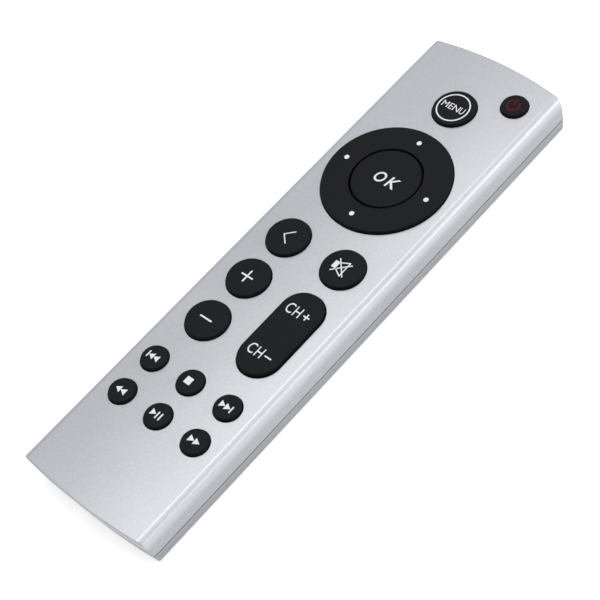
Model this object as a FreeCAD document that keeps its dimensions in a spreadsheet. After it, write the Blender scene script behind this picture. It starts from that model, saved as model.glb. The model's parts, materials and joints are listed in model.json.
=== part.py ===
import FreeCAD, Part
import collections
import math
import os

import Sketcher

# Driving sizes, in millimetres and degrees
SIZES = {
    # Case outside
    "body_width": 38.0,
    "body_length": 142.0,
    "crown_radius": 700.0,
    "shoulder_radius": 1.7,
    "brow_radius": 5.0,
    "brow_rise": 1.8,
    "widest_drop": 3.6,
    "side_curve_radius": 35.0,
    "bottom_edge_radius": 0.9,
    "far_end_radius": 104.0,
    "near_end_radius": 168.0,
    "far_end_lean": 0.1,
    "near_end_lean": 1.95,
    "end_edge_radius": 0.4,
    # Case walls and seam
    "deck_wall": 1.4,
    "side_wall": 1.8,
    "end_wall": 1.4,
    "cavity_inset": 3.0,
    "bottom_wall": 1.4,
    "seam_height": 4.0,
    "seam_gap": 0.25,
    "lip_height": 0.9,
    "lip_thickness": 0.9,
    "lip_gap": 0.1,
    "root_depth": 0.3,
    "land_length": 1.2,
    "land_place": 16.0,
    "corner_land_length": 1.6,
    "corner_land_place": 4.0,
    # Stack inside, from the floor up
    "cell_gap": 0.3,
    "cell_diameter": 20.0,
    "cell_thickness": 3.2,
    "board_gap": 0.6,
    "board_thickness": 1.0,
    "key_room": 3.1,
    # Keys and their openings in the deck
    "key_gap": 0.25,
    "rim_radius": 0.2,
    "small_hole_radius": 3.44,
    "large_hole_radius": 5.45,
    "dpad_hole_radius": 15.5,
    "ok_radius": 8.25,
    "ok_gap": 0.4,
    "rocker_hole_radius": 5.51,
    "rocker_half_stretch": 6.51,
    "small_key_stand": 0.9,
    "large_key_stand": 1.0,
    "key_edge_radius": 0.45,
    "key_dome": 0.12,
    "flange_width": 0.6,
    "flange_thickness": 0.7,
    "flange_gap": 0.1,
    "stem_inset": 1.1,
    "key_travel": 0.8,
    "press_gap": 0.03,
    "pill_thickness": 0.4,
    "small_pill_radius": 1.4,
    "large_pill_radius": 1.9,
    "pad_radius_step": 0.3,
    "pad_thickness": 0.05,
    # Rocking keys
    "tilt_angle": 2.5,
    "tilt_gap": 0.09,
    "ring_sink": 1.0,
    "ring_flange_thickness": 0.6,
    "ring_flange_width": 0.5,
    "ring_pill_place": 11.9,
    "rocker_sink": 0.65,
    "rocker_pill_place": 7.5,
    # Key rows, from the far end and then each from the row before it
    "power_margin": 9.25,
    "menu_pitch": 7.75,
    "dpad_pitch": 24.5,
    "upper_pair_pitch": 24.55,
    "volume_up_pitch": 13.35,
    "volume_down_pitch": 13.5,
    "upper_transport_pitch": 13.95,
    "lower_transport_pitch": 10.15,
    "near_margin": 25.0,
    "rocker_drop": 0.41,
    # Key columns, from the middle line
    "power_x": 11.45,
    "column_x": 8.27,
    "transport_x": 11.33,
    # Keypad mat
    "mat_thickness": 1.0,
    "mat_floor": 0.25,
    "mat_inset": 0.2,
    "hole_clearance": 0.4,
    # Soft pad that carries the ring
    "seat_radius": 9.75,
    "seat_width": 0.9,
    "seat_thickness": 0.3,
    "seat_foot_radius": 0.4,
    "seat_gap": 0.05,
    # Circuit board
    "board_inset": 0.6,
    "board_far": 2.5,
    "board_near": 7.4,
    "lead_notch_width": 4.4,
    "lead_notch_depth": 3.9,
    # Screws and bosses
    "board_boss_radius": 2.0,
    "board_screw_radius": 0.6,
    "board_screw_length": 3.2,
    "board_head_radius": 1.4,
    "board_head_height": 0.7,
    "case_boss_radius": 2.1,
    "case_post_radius": 2.6,
    "case_screw_radius": 0.8,
    "case_screw_length": 6.0,
    "case_head_radius": 1.6,
    "case_head_height": 0.75,
    "screw_gap": 0.1,
    "boss_hole_gap": 0.4,
    "pilot_gap": 0.05,
    "cross_width": 0.35,
    "cross_depth": 0.4,
    "cross_margin": 0.6,
    "far_boss_x": 13.0,
    "far_boss_drop": 7.0,
    "mid_boss_drop": 6.45,
    "near_boss_x": 12.7,
    "near_boss_drop": 8.0,
    "far_case_screw_x": 13.4,
    "far_case_screw_rise": 1.0,
    "near_case_screw_x": 8.9,
    "near_case_screw_y": 7.0,
    "lug_half_length": 2.7,
    "lug_half_width": 2.9,
    "lug_bottom": 2.35,
    "head_recess": 0.5,
    # Battery cover and cell bay
    "cover_width": 23.0,
    "cover_far_edge": 37.0,
    "cover_gap": 0.15,
    "cover_end_width": 27.0,
    "wing_width": 1.2,
    "wing_thickness": 0.6,
    "wing_gap": 0.05,
    "wing_root_width": 0.6,
    "grip_length": 9.0,
    "grip_width": 0.6,
    "grip_depth": 0.35,
    "grip_pitch": 1.4,
    "grip_place": 31.0,
    "cell_y": 21.0,
    "cell_button_radius": 8.8,
    "cell_button_height": 0.25,
    "cell_edge_radius": 0.4,
    "clip_thickness": 0.2,
    "clip_width": 6.0,
    "clip_gap": 0.05,
    "clip_lift": 0.8,
    "clip_foot": 4.0,
    "leaf_width": 3.0,
    "leaf_root": 6.0,
    "leaf_bend": 3.0,
    "leaf_reach": 1.5,
    "leaf_tip": 1.0,
    # Infrared emitter and window
    "window_width": 12.0,
    "window_height": 3.2,
    "window_gap": 0.08,
    "window_flange": 0.8,
    "window_flange_thickness": 0.6,
    "emitter_radius": 1.5,
    "emitter_flange_radius": 1.75,
    "emitter_flange_length": 0.8,
    "emitter_gap": 0.2,
    "lead_width": 0.45,
    "lead_pitch": 2.0,
    "lead_length": 2.3,
    # Components under the board
    "chip_radius": 5.5,
    "chip_height": 1.1,
    "chip_drop": 17.5,
    "resonator_x": -12.0,
    "resonator_drop": 0.95,
    "resonator_length": 7.0,
    "resonator_width": 2.6,
    "resonator_height": 2.4,
    "capacitor_radius": 1.6,
    "capacitor_length": 6.0,
    "capacitor_x": 9.5,
    "capacitor_drop": 3.6,
    "resistor_x": -10.0,
    "resistor_drop": 10.95,
    "resistor_pitch": 3.5,
    "resistor_length": 2.0,
    "resistor_width": 1.2,
    "resistor_height": 0.5,
    "transistor_x": 4.0,
    "transistor_drop": 10.0,
    "transistor_length": 3.0,
    "transistor_width": 1.6,
    "transistor_height": 1.1,
}
RESISTOR_COUNT = 4
GRIP_COUNT = 4

DOC = FreeCAD.newDocument("tv_box_remote")
SHEET = DOC.addObject("Spreadsheet::Sheet", "Sizes")
for row_number, (alias, number) in enumerate(SIZES.items(), 1):
    SHEET.set(f"A{row_number}", alias)
    SHEET.set(f"B{row_number}", str(number))
    SHEET.setAlias(f"B{row_number}", alias)
DOC.recompute()

PIECES = []
LEAST_CHANGE = 1e-6
SAME_PLACE = 1e-3
OUTSIDE = 4.0


class Dim:
    """A size that carries its value and its formula in the sheet's names."""

    def __init__(self, value, formula):
        self.value = float(value)
        self.formula = formula

    def __add__(self, other):
        other = dim(other)
        return Dim(self.value + other.value, f"({self.formula} + {other.formula})")

    def __radd__(self, other):
        return dim(other) + self

    def __sub__(self, other):
        other = dim(other)
        return Dim(self.value - other.value, f"({self.formula} - {other.formula})")

    def __rsub__(self, other):
        return dim(other) - self

    def __mul__(self, other):
        other = dim(other)
        return Dim(self.value * other.value, f"({self.formula} * {other.formula})")

    def __rmul__(self, other):
        return dim(other) * self

    def __truediv__(self, other):
        other = dim(other)
        return Dim(self.value / other.value, f"({self.formula} / {other.formula})")

    def __neg__(self):
        return Dim(-self.value, f"(0 - {self.formula})")


def dim(number):
    """The number itself as a Dim."""
    if isinstance(number, Dim):
        return number
    return Dim(number, f"({number:.9g})" if number < 0 else f"{number:.9g}")


def size(alias):
    """The driving size with this name."""
    return Dim(SIZES[alias], f"Sizes.{alias}")


def root(number):
    """Square root."""
    return Dim(math.sqrt(number.value), f"sqrt({number.formula})")


def sine(angle):
    """Sine of an angle in degrees."""
    return Dim(math.sin(math.radians(angle.value)), f"sin({angle.formula})")


# Sizes that follow from the driving ones
HALF_WIDTH = size("body_width") / 2
HALF_LENGTH = size("body_length") / 2
CELL_BOTTOM = size("bottom_wall") + size("cell_gap")
CELL_TOP = CELL_BOTTOM + size("cell_thickness")
BOARD_BOTTOM = CELL_TOP + size("board_gap")
BOARD_TOP = BOARD_BOTTOM + size("board_thickness")
DECK_INNER = BOARD_TOP + size("key_room")
HEIGHT = DECK_INNER + size("deck_wall")
WIDEST = HEIGHT - size("widest_drop")
CONTACT_TOP = BOARD_TOP + size("pad_thickness")
MAT_TOP = BOARD_TOP + size("mat_thickness")
MAT_FLOOR_TOP = BOARD_TOP + size("mat_floor")
SEAM_LOW = size("seam_height") - size("seam_gap") / 2
SEAM_HIGH = size("seam_height") + size("seam_gap") / 2
LIP_TOP = size("seam_height") + size("lip_height")
CAVITY_HALF_WIDTH = HALF_WIDTH - size("side_wall")
CAVITY_END = HALF_LENGTH - size("cavity_inset")
LIP_OUT = size("lip_gap")
LIP_IN = size("lip_gap") + size("lip_thickness")
WINDOW_LOW = LIP_TOP + size("window_gap") * 2
WINDOW_HIGH = WINDOW_LOW + size("window_height")
WINDOW_HALF = size("window_width") / 2
WINDOW_BACK = CAVITY_END - size("window_flange_thickness") * 2
RING_FLANGE_TOP = DECK_INNER - size("ring_sink")
RING_PIVOT = RING_FLANGE_TOP - size("ring_flange_thickness")
ROCKER_FLANGE_TOP = DECK_INNER - size("rocker_sink")
ROCKER_PIVOT = ROCKER_FLANGE_TOP - size("ring_flange_thickness")
RING_INNER = size("ok_radius") + size("ok_gap")
BOARD_HALF_WIDTH = CAVITY_HALF_WIDTH - size("board_inset")
MAT_HALF_WIDTH = BOARD_HALF_WIDTH - size("mat_inset")
BOARD_FAR = CAVITY_END - size("board_far")
BOARD_NEAR = -CAVITY_END + size("board_near")
NOTCH_FLOOR = BOARD_FAR - size("lead_notch_depth")
COVER_HALF = size("cover_width") / 2
COVER_END_HALF = size("cover_end_width") / 2
COVER_FAR_EDGE = -HALF_LENGTH + size("cover_far_edge")
COVER_END_INNER = -CAVITY_END + LIP_IN
WING_HALF = COVER_HALF + size("wing_width")
CELL_Y = -HALF_LENGTH + size("cell_y")



ROW_STEPS = ("power_margin", "menu_pitch", "dpad_pitch", "upper_pair_pitch", "volume_up_pitch",
             "volume_down_pitch", "upper_transport_pitch", "lower_transport_pitch",
             "near_margin")
ROW_TOTAL = sum(size(step) for step in ROW_STEPS)


def spaced(alias):
    """A spacing along the case, which spreads with the case's length."""
    return size(alias) * size("body_length") / ROW_TOTAL


Key = collections.namedtuple("Key", "name x y hole stand pill")


def small_key(name, x, y):
    """One of the small round keys."""
    return Key(name, x, y, size("small_hole_radius"), size("small_key_stand"),
               size("small_pill_radius"))


def large_key(name, x, y):
    """One of the large round keys."""
    return Key(name, x, y, size("large_hole_radius"), size("large_key_stand"),
               size("large_pill_radius"))


COLUMN = size("column_x")
TRANSPORT = size("transport_x")
POWER_Y = HALF_LENGTH - spaced("power_margin")
MENU_Y = POWER_Y - spaced("menu_pitch")
DPAD_Y = MENU_Y - spaced("dpad_pitch")
PAIR_Y = DPAD_Y - spaced("upper_pair_pitch")
VOLUME_UP_Y = PAIR_Y - spaced("volume_up_pitch")
VOLUME_DOWN_Y = VOLUME_UP_Y - spaced("volume_down_pitch")
UPPER_ROW = VOLUME_DOWN_Y - spaced("upper_transport_pitch")
LOWER_ROW = UPPER_ROW - spaced("lower_transport_pitch")
ROCKER_Y = (VOLUME_UP_Y + VOLUME_DOWN_Y) / 2 - spaced("rocker_drop")
ROCKER_STRETCH = spaced("rocker_half_stretch")
ROCKER_PILL = spaced("rocker_pill_place")
KEYS = (
    small_key("power", size("power_x"), POWER_Y),
    large_key("menu", dim(0), MENU_Y),
    large_key("back", -COLUMN, PAIR_Y),
    large_key("mute", COLUMN, PAIR_Y),
    large_key("volume_up", -COLUMN, VOLUME_UP_Y),
    large_key("volume_down", -COLUMN, VOLUME_DOWN_Y),
    small_key("previous", -TRANSPORT, UPPER_ROW),
    small_key("stop", dim(0), UPPER_ROW),
    small_key("next", TRANSPORT, UPPER_ROW),
    small_key("rewind", -TRANSPORT, LOWER_ROW),
    small_key("play_pause", dim(0), LOWER_ROW),
    small_key("fast_forward", TRANSPORT, LOWER_ROW),
)


def pair(x, y):
    """Two places that mirror each other."""
    return (x, y), (-x, y)


BOARD_SCREWS = (*pair(size("far_boss_x"), MENU_Y - spaced("far_boss_drop")),
                (dim(0), PAIR_Y - spaced("mid_boss_drop")),
                *pair(size("near_boss_x"), LOWER_ROW - spaced("near_boss_drop")))
FAR_CASE_SCREWS = pair(size("far_case_screw_x"), MENU_Y + spaced("far_case_screw_rise"))
NEAR_CASE_SCREWS = pair(size("near_case_screw_x"), -HALF_LENGTH + size("near_case_screw_y"))
CASE_SCREWS = FAR_CASE_SCREWS + NEAR_CASE_SCREWS


# Helpers for sketches and features

def bind(item, **properties):
    """Set each property, through the sheet where it is a Dim."""
    for name, value in properties.items():
        if isinstance(value, Dim):
            item.setExpression(name, value.formula)
        else:
            setattr(item, name, value)


def place(item, x=0, y=0, z=0):
    """Put the item's own origin at a place that follows the sheet."""
    for letter, value in zip("xyz", (x, y, z)):
        item.setExpression(f"Placement.Base.{letter}", dim(value).formula)


def keep(item, label):
    """Name a finished piece, which is written to its own file."""
    item.Label = label
    PIECES.append(item)
    return item


def new_body(name):
    """An empty body with its three planes."""
    return DOC.addObject("PartDesign::Body", name)


def new_sketch(body, name, plane, offset=0):
    """An empty sketch on one of the body's own planes, moved along its normal."""
    sketch = body.newObject("Sketcher::SketchObject", name)
    support = [item for item in body.Origin.OriginFeatures if item.Role == plane]
    sketch.AttachmentSupport = [(support[0], "")]
    sketch.MapMode = "FlatFace"
    sketch.setExpression("AttachmentOffset.Base.z", dim(offset).formula)
    return sketch


def fix_point(sketch, geometry, point, x, y):
    """Hold a point of the sketch at two coordinates."""
    for kind, axis, value in (("DistanceX", -2, x), ("DistanceY", -1, y)):
        value = dim(value)
        if value.value == 0:
            sketch.addConstraint(Sketcher.Constraint("PointOnObject", geometry, point, axis))
            continue
        fix_value(sketch, Sketcher.Constraint(kind, -1, 1, geometry, point, value.value), value)


def fix_value(sketch, constraint, value):
    """Add a constraint whose number follows the sheet."""
    index = sketch.addConstraint(constraint)
    name = f"size_{index}"
    sketch.renameConstraint(index, name)
    sketch.setExpression(f"Constraints.{name}", value.formula)


def arc_between(start, end, radius):
    """Arc that bulges to the right of the way from start to end."""
    chord = end - start
    middle = (start + end) / 2
    reach = math.sqrt(max(radius ** 2 - chord.Length ** 2 / 4, 0))
    inward = FreeCAD.Vector(-chord.y, chord.x, 0).normalize()
    centre = middle + inward * reach
    first = math.atan2(start.y - centre.y, start.x - centre.x)
    last = math.atan2(end.y - centre.y, end.x - centre.x)
    circle = Part.Circle(centre, FreeCAD.Vector(0, 0, 1), radius)
    return Part.ArcOfCircle(circle, first, last)


def add_loop(sketch, corners, arcs=None):
    """Closed outline, counter-clockwise; arcs gives the radius of a numbered edge."""
    arcs = arcs or {}
    corners = [(dim(x), dim(y)) for x, y in corners]
    points = [FreeCAD.Vector(x.value, y.value, 0) for x, y in corners]
    edges = []
    for number, start in enumerate(points):
        end = points[(number + 1) % len(points)]
        if number in arcs:
            edges.append(sketch.addGeometry(arc_between(start, end, arcs[number].value), False))
        else:
            edges.append(sketch.addGeometry(Part.LineSegment(start, end), False))
    for number, edge in enumerate(edges):
        following = edges[(number + 1) % len(edges)]
        sketch.addConstraint(Sketcher.Constraint("Coincident", edge, 2, following, 1))
    for edge, (x, y) in zip(edges, corners):
        fix_point(sketch, edge, 1, x, y)
    for number, radius in arcs.items():
        edge = edges[number]
        fix_value(sketch, Sketcher.Constraint("Radius", edge, radius.value), radius)


def add_circle(sketch, x, y, radius):
    """Circle at a place that follows the sheet."""
    x, y, radius = dim(x), dim(y), dim(radius)
    centre = FreeCAD.Vector(x.value, y.value, 0)
    circle = Part.Circle(centre, FreeCAD.Vector(0, 0, 1), radius.value)
    edge = sketch.addGeometry(circle, False)
    fix_point(sketch, edge, 3, x, y)
    fix_value(sketch, Sketcher.Constraint("Radius", edge, radius.value), radius)


def add_rectangle(sketch, low_x, low_y, high_x, high_y):
    """Rectangle between two corners."""
    add_loop(sketch, ((low_x, low_y), (high_x, low_y), (high_x, high_y), (low_x, high_y)))


def add_slot(sketch, x, y, radius, half_stretch):
    """Long round opening along the sketch's second axis."""
    x, y, radius, stretch = dim(x), dim(y), dim(radius), dim(half_stretch)
    corners = ((x + radius, y - stretch), (x + radius, y + stretch),
               (x - radius, y + stretch), (x - radius, y - stretch))
    points = [FreeCAD.Vector(a.value, b.value, 0) for a, b in corners]
    edges = []
    for number, start in enumerate(points):
        end = points[(number + 1) % len(points)]
        curved = number % 2 == 1
        shape = arc_between(start, end, radius.value) if curved else Part.LineSegment(start, end)
        edges.append(sketch.addGeometry(shape, False))
    for number, edge in enumerate(edges):
        following = edges[(number + 1) % len(edges)]
        sketch.addConstraint(Sketcher.Constraint("Coincident", edge, 2, following, 1))
    for edge, (a, b) in zip(edges, corners):
        fix_point(sketch, edge, 1, a, b)
    for edge, height in ((edges[1], y + stretch), (edges[3], y - stretch)):
        fix_value(sketch, Sketcher.Constraint("DistanceY", -1, 1, edge, 3, height.value), height)


def add_feature(body, kind, name, grows, **properties):
    """Add a feature and make sure that it adds or removes material as meant."""
    before = body.Shape.Volume if body.Tip else 0.0
    feature = body.newObject(f"PartDesign::{kind}", name)
    bind(feature, **properties)
    body.Tip = feature
    DOC.recompute()
    change = body.Shape.Volume - before
    if abs(change) < LEAST_CHANGE or (change > 0) != grows:
        raise ValueError(f"{body.Name} {name} changes the volume by {change:.4f}")
    return feature


def add_pad(body, name, sketch, length, **properties):
    """Raise a sketch along its normal."""
    return add_feature(body, "Pad", name, True, Profile=sketch, Length=dim(length), **properties)


def add_pocket(body, name, sketch, length, upward=False):
    """Cut a sketch downward, or upward along its normal."""
    return add_feature(body, "Pocket", name, False, Profile=sketch, Length=dim(length),
                       Reversed=upward)


def add_rounds(body, name, radius, chosen):
    """Round every edge that the test picks out of the shape so far."""
    base = body.Tip
    before = base.Shape.Volume
    shape = base.Shape
    names = [f"Edge{number}" for number, edge in enumerate(shape.Edges, 1) if chosen(edge, shape)]
    rounds = body.newObject("PartDesign::Fillet", name)
    rounds.Base = (base, names)
    bind(rounds, Radius=radius)
    body.Tip = rounds
    DOC.recompute()
    if abs(body.Shape.Volume - before) < LEAST_CHANGE:
        raise ValueError(f"{body.Name} {name} rounds nothing")
    return rounds


def box(name, low, high):
    """Box between two corners."""
    item = DOC.addObject("Part::Box", name)
    low = [dim(value) for value in low]
    high = [dim(value) for value in high]
    bind(item, Length=high[0] - low[0], Width=high[1] - low[1], Height=high[2] - low[2])
    place(item, *low)
    return item


def rod(name, x, y, low, high, radius):
    """Upright cylinder between two heights."""
    item = DOC.addObject("Part::Cylinder", name)
    bind(item, Radius=dim(radius), Height=dim(high) - dim(low))
    place(item, x, y, low)
    return item


def fuse(name, parts):
    """One solid out of touching ones."""
    item = DOC.addObject("Part::MultiFuse", name)
    item.Shapes = parts
    return item


def cut(name, base, tool):
    """The base without the tool."""
    item = DOC.addObject("Part::Cut", name)
    item.Base = base
    item.Tool = tool
    return item


def common(name, parts):
    """What the parts share."""
    item = DOC.addObject("Part::MultiCommon", name)
    item.Shapes = parts
    return item


def group(name, parts):
    """Separate solids that share one node."""
    item = DOC.addObject("Part::Compound", name)
    item.Links = parts
    return item


# Case outside

def add_outer_form(body):
    """Crowned section along the length, with bowed ends, of which the near one leans in at its foot."""
    shoulder = size("shoulder_radius")
    brow = size("brow_radius")
    rise = size("brow_rise")
    crown = size("crown_radius")
    brow_reach = root(brow * brow - rise * rise)
    brow_share = (brow - shoulder) / brow
    brow_x = HALF_WIDTH - brow + brow_reach
    shoulder_x = HALF_WIDTH - brow + brow_reach * brow_share
    crown_z = HEIGHT - crown
    shoulder_z = crown_z + root((crown - shoulder) * (crown - shoulder) - shoulder_x * shoulder_x)
    crown_share = crown / (crown - shoulder)
    deck_x = shoulder_x * crown_share
    deck_z = crown_z + (shoulder_z - crown_z) * crown_share
    brow_z = shoulder_z - rise * brow_share

    side = size("side_curve_radius")
    edge = size("bottom_edge_radius")
    side_x = HALF_WIDTH - side
    fall = WIDEST - edge
    reach = root((side - edge) * (side - edge) - fall * fall)
    edge_x = side_x + reach
    side_share = side / (side - edge)
    low_x = side_x + reach * side_share
    low_z = WIDEST - fall * side_share

    section = new_sketch(body, f"{body.Name}_section", "XZ_Plane")
    add_loop(section, (
        (-edge_x, 0), (edge_x, 0), (low_x, low_z), (HALF_WIDTH, WIDEST),
        (HALF_WIDTH, brow_z), (brow_x, brow_z + rise), (deck_x, deck_z), (-deck_x, deck_z),
        (-brow_x, brow_z + rise), (-HALF_WIDTH, brow_z), (-HALF_WIDTH, WIDEST), (-low_x, low_z),
    ), {1: edge, 2: side, 4: brow, 5: shoulder, 6: crown, 7: shoulder, 8: brow, 10: side, 11: edge})
    add_pad(body, f"{body.Name}_length", section, size("body_length") + OUTSIDE, Midplane=True)
    add_end(body, "far", size("far_end_radius"), size("far_end_lean"), 1)
    add_end(body, "near", size("near_end_radius"), size("near_end_lean"), -1)
    add_rounds(body, f"{body.Name}_end_edges", size("end_edge_radius"), on_end_face)


def add_end(body, end, radius, lean, side):
    """Turn the end face about an upright axis far inside the case."""
    slope = lean / HEIGHT
    low = HALF_LENGTH - slope * (HEIGHT + OUTSIDE)
    high = HALF_LENGTH + slope * OUTSIDE
    beyond = HALF_LENGTH + HALF_WIDTH + OUTSIDE
    sketch = new_sketch(body, f"{body.Name}_{end}_end", "YZ_Plane")
    corners = [(low, dim(-OUTSIDE)), (beyond, dim(-OUTSIDE)),
               (beyond, HEIGHT + OUTSIDE), (high, HEIGHT + OUTSIDE)]
    if side < 0:
        corners = [(-y, z) for y, z in reversed(corners)]
    add_loop(sketch, corners)
    axis_y = (HALF_LENGTH - radius) * side
    line = Part.LineSegment(FreeCAD.Vector(axis_y.value, 0, 0),
                            FreeCAD.Vector(axis_y.value, HEIGHT.value, 0))
    axis = sketch.addGeometry(line, True)
    fix_point(sketch, axis, 1, axis_y, 0)
    fix_point(sketch, axis, 2, axis_y, HEIGHT)
    add_feature(body, "Groove", f"{body.Name}_{end}_bow", False, Profile=sketch,
                ReferenceAxis=(sketch, ["Axis0"]), Angle=180.0, Midplane=True)


def on_end_face(edge, shape):
    """Whether the edge borders one of the two end faces."""
    return any(isinstance(face.Surface, Part.Cone)
               for face in shape.ancestorsOfType(edge, Part.Face))


def add_inner_outline(sketch, inset):
    """Plan of the hollow, drawn in from the walls of the upper shell by the inset."""
    x = CAVITY_HALF_WIDTH - inset
    far_radius = size("far_end_radius") - size("end_wall") - inset
    near_radius = size("near_end_radius") - size("end_wall") - inset
    end = CAVITY_END - inset
    far = end - far_radius + root(far_radius * far_radius - x * x)
    near = end - near_radius + root(near_radius * near_radius - x * x)
    add_loop(sketch, ((x, -near), (x, far), (-x, far), (-x, -near)),
             {1: far_radius, 3: near_radius})


outer_form = new_body("outer_form")
add_outer_form(outer_form)


# Upper shell

def in_opening(edge, shape):
    """Whether the edge lies on the deck's rim of a key opening."""
    bounds = edge.BoundBox
    if bounds.ZMin < HEIGHT.value - size("deck_wall").value / 2:
        return False
    openings = [(key.x, key.y, key.hole, dim(0)) for key in KEYS]
    openings.append((dim(0), DPAD_Y, size("dpad_hole_radius"), dim(0)))
    openings.append((COLUMN, ROCKER_Y, size("rocker_hole_radius"),
                     ROCKER_STRETCH))
    for x, y, radius, stretch in openings:
        reach_x = radius.value + SAME_PLACE
        reach_y = reach_x + stretch.value
        if (abs(bounds.XMin - x.value) < reach_x and abs(bounds.XMax - x.value) < reach_x
                and abs(bounds.YMin - y.value) < reach_y and abs(bounds.YMax - y.value) < reach_y):
            return True
    return False


def make_top_shell():
    """Deck with its key openings, outer walls and screw bosses."""
    body = new_body("top_shell_body")
    add_outer_form(body)
    below = new_sketch(body, "top_below_seam", "XY_Plane", SEAM_HIGH)
    add_rectangle(below, -HALF_WIDTH - OUTSIDE, -HALF_LENGTH - OUTSIDE,
                  HALF_WIDTH + OUTSIDE, HALF_LENGTH + OUTSIDE)
    add_pocket(body, "top_seam_cut", below, HEIGHT)
    hollow = new_sketch(body, "top_hollow_plan", "XY_Plane")
    add_inner_outline(hollow, dim(0))
    add_pocket(body, "top_hollow", hollow, DECK_INNER, upward=True)

    openings = new_sketch(body, "key_opening_plan", "XY_Plane")
    for key in KEYS:
        add_circle(openings, key.x, key.y, key.hole)
    add_circle(openings, 0, DPAD_Y, size("dpad_hole_radius"))
    add_slot(openings, COLUMN, ROCKER_Y, size("rocker_hole_radius"),
             ROCKER_STRETCH)
    add_pocket(body, "key_openings", openings, HEIGHT + OUTSIDE, upward=True)
    add_rounds(body, "key_opening_rims", size("rim_radius"), in_opening)

    root_depth = size("root_depth")
    boss_end = SEAM_LOW + size("press_gap")
    board_bosses = new_sketch(body, "board_boss_plan", "XY_Plane", BOARD_TOP)
    for x, y in BOARD_SCREWS:
        add_circle(board_bosses, x, y, size("board_boss_radius"))
    add_pad(body, "board_bosses", board_bosses, DECK_INNER - BOARD_TOP + root_depth)
    case_bosses = new_sketch(body, "case_boss_plan", "XY_Plane", boss_end)
    for x, y in CASE_SCREWS:
        add_circle(case_bosses, x, y, size("case_boss_radius"))
    add_pad(body, "case_bosses", case_bosses, DECK_INNER - boss_end + root_depth)

    pilots = new_sketch(body, "board_pilot_plan", "XY_Plane", BOARD_TOP)
    for x, y in BOARD_SCREWS:
        add_circle(pilots, x, y, size("board_screw_radius") + size("pilot_gap"))
    add_pocket(body, "board_pilots", pilots, DECK_INNER - BOARD_TOP, upward=True)
    pilots = new_sketch(body, "case_pilot_plan", "XY_Plane", SEAM_LOW)
    for x, y in CASE_SCREWS:
        add_circle(pilots, x, y, size("case_screw_radius") + size("pilot_gap"))
    add_pocket(body, "case_pilots", pilots, DECK_INNER - SEAM_LOW, upward=True)

    window = new_sketch(body, "window_opening_plan", "XZ_Plane", -CAVITY_END + OUTSIDE)
    add_rectangle(window, -WINDOW_HALF, WINDOW_LOW, WINDOW_HALF, WINDOW_HIGH)
    add_pocket(body, "window_opening", window, OUTSIDE * 2 + size("end_wall"))
    return keep(body, "top_shell")


# Lower shell

def across(side, inner, outer):
    """Low and high x of a span on the right side (1) or the left side (-1)."""
    return (inner, outer) if side > 0 else (-outer, -inner)


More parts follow.
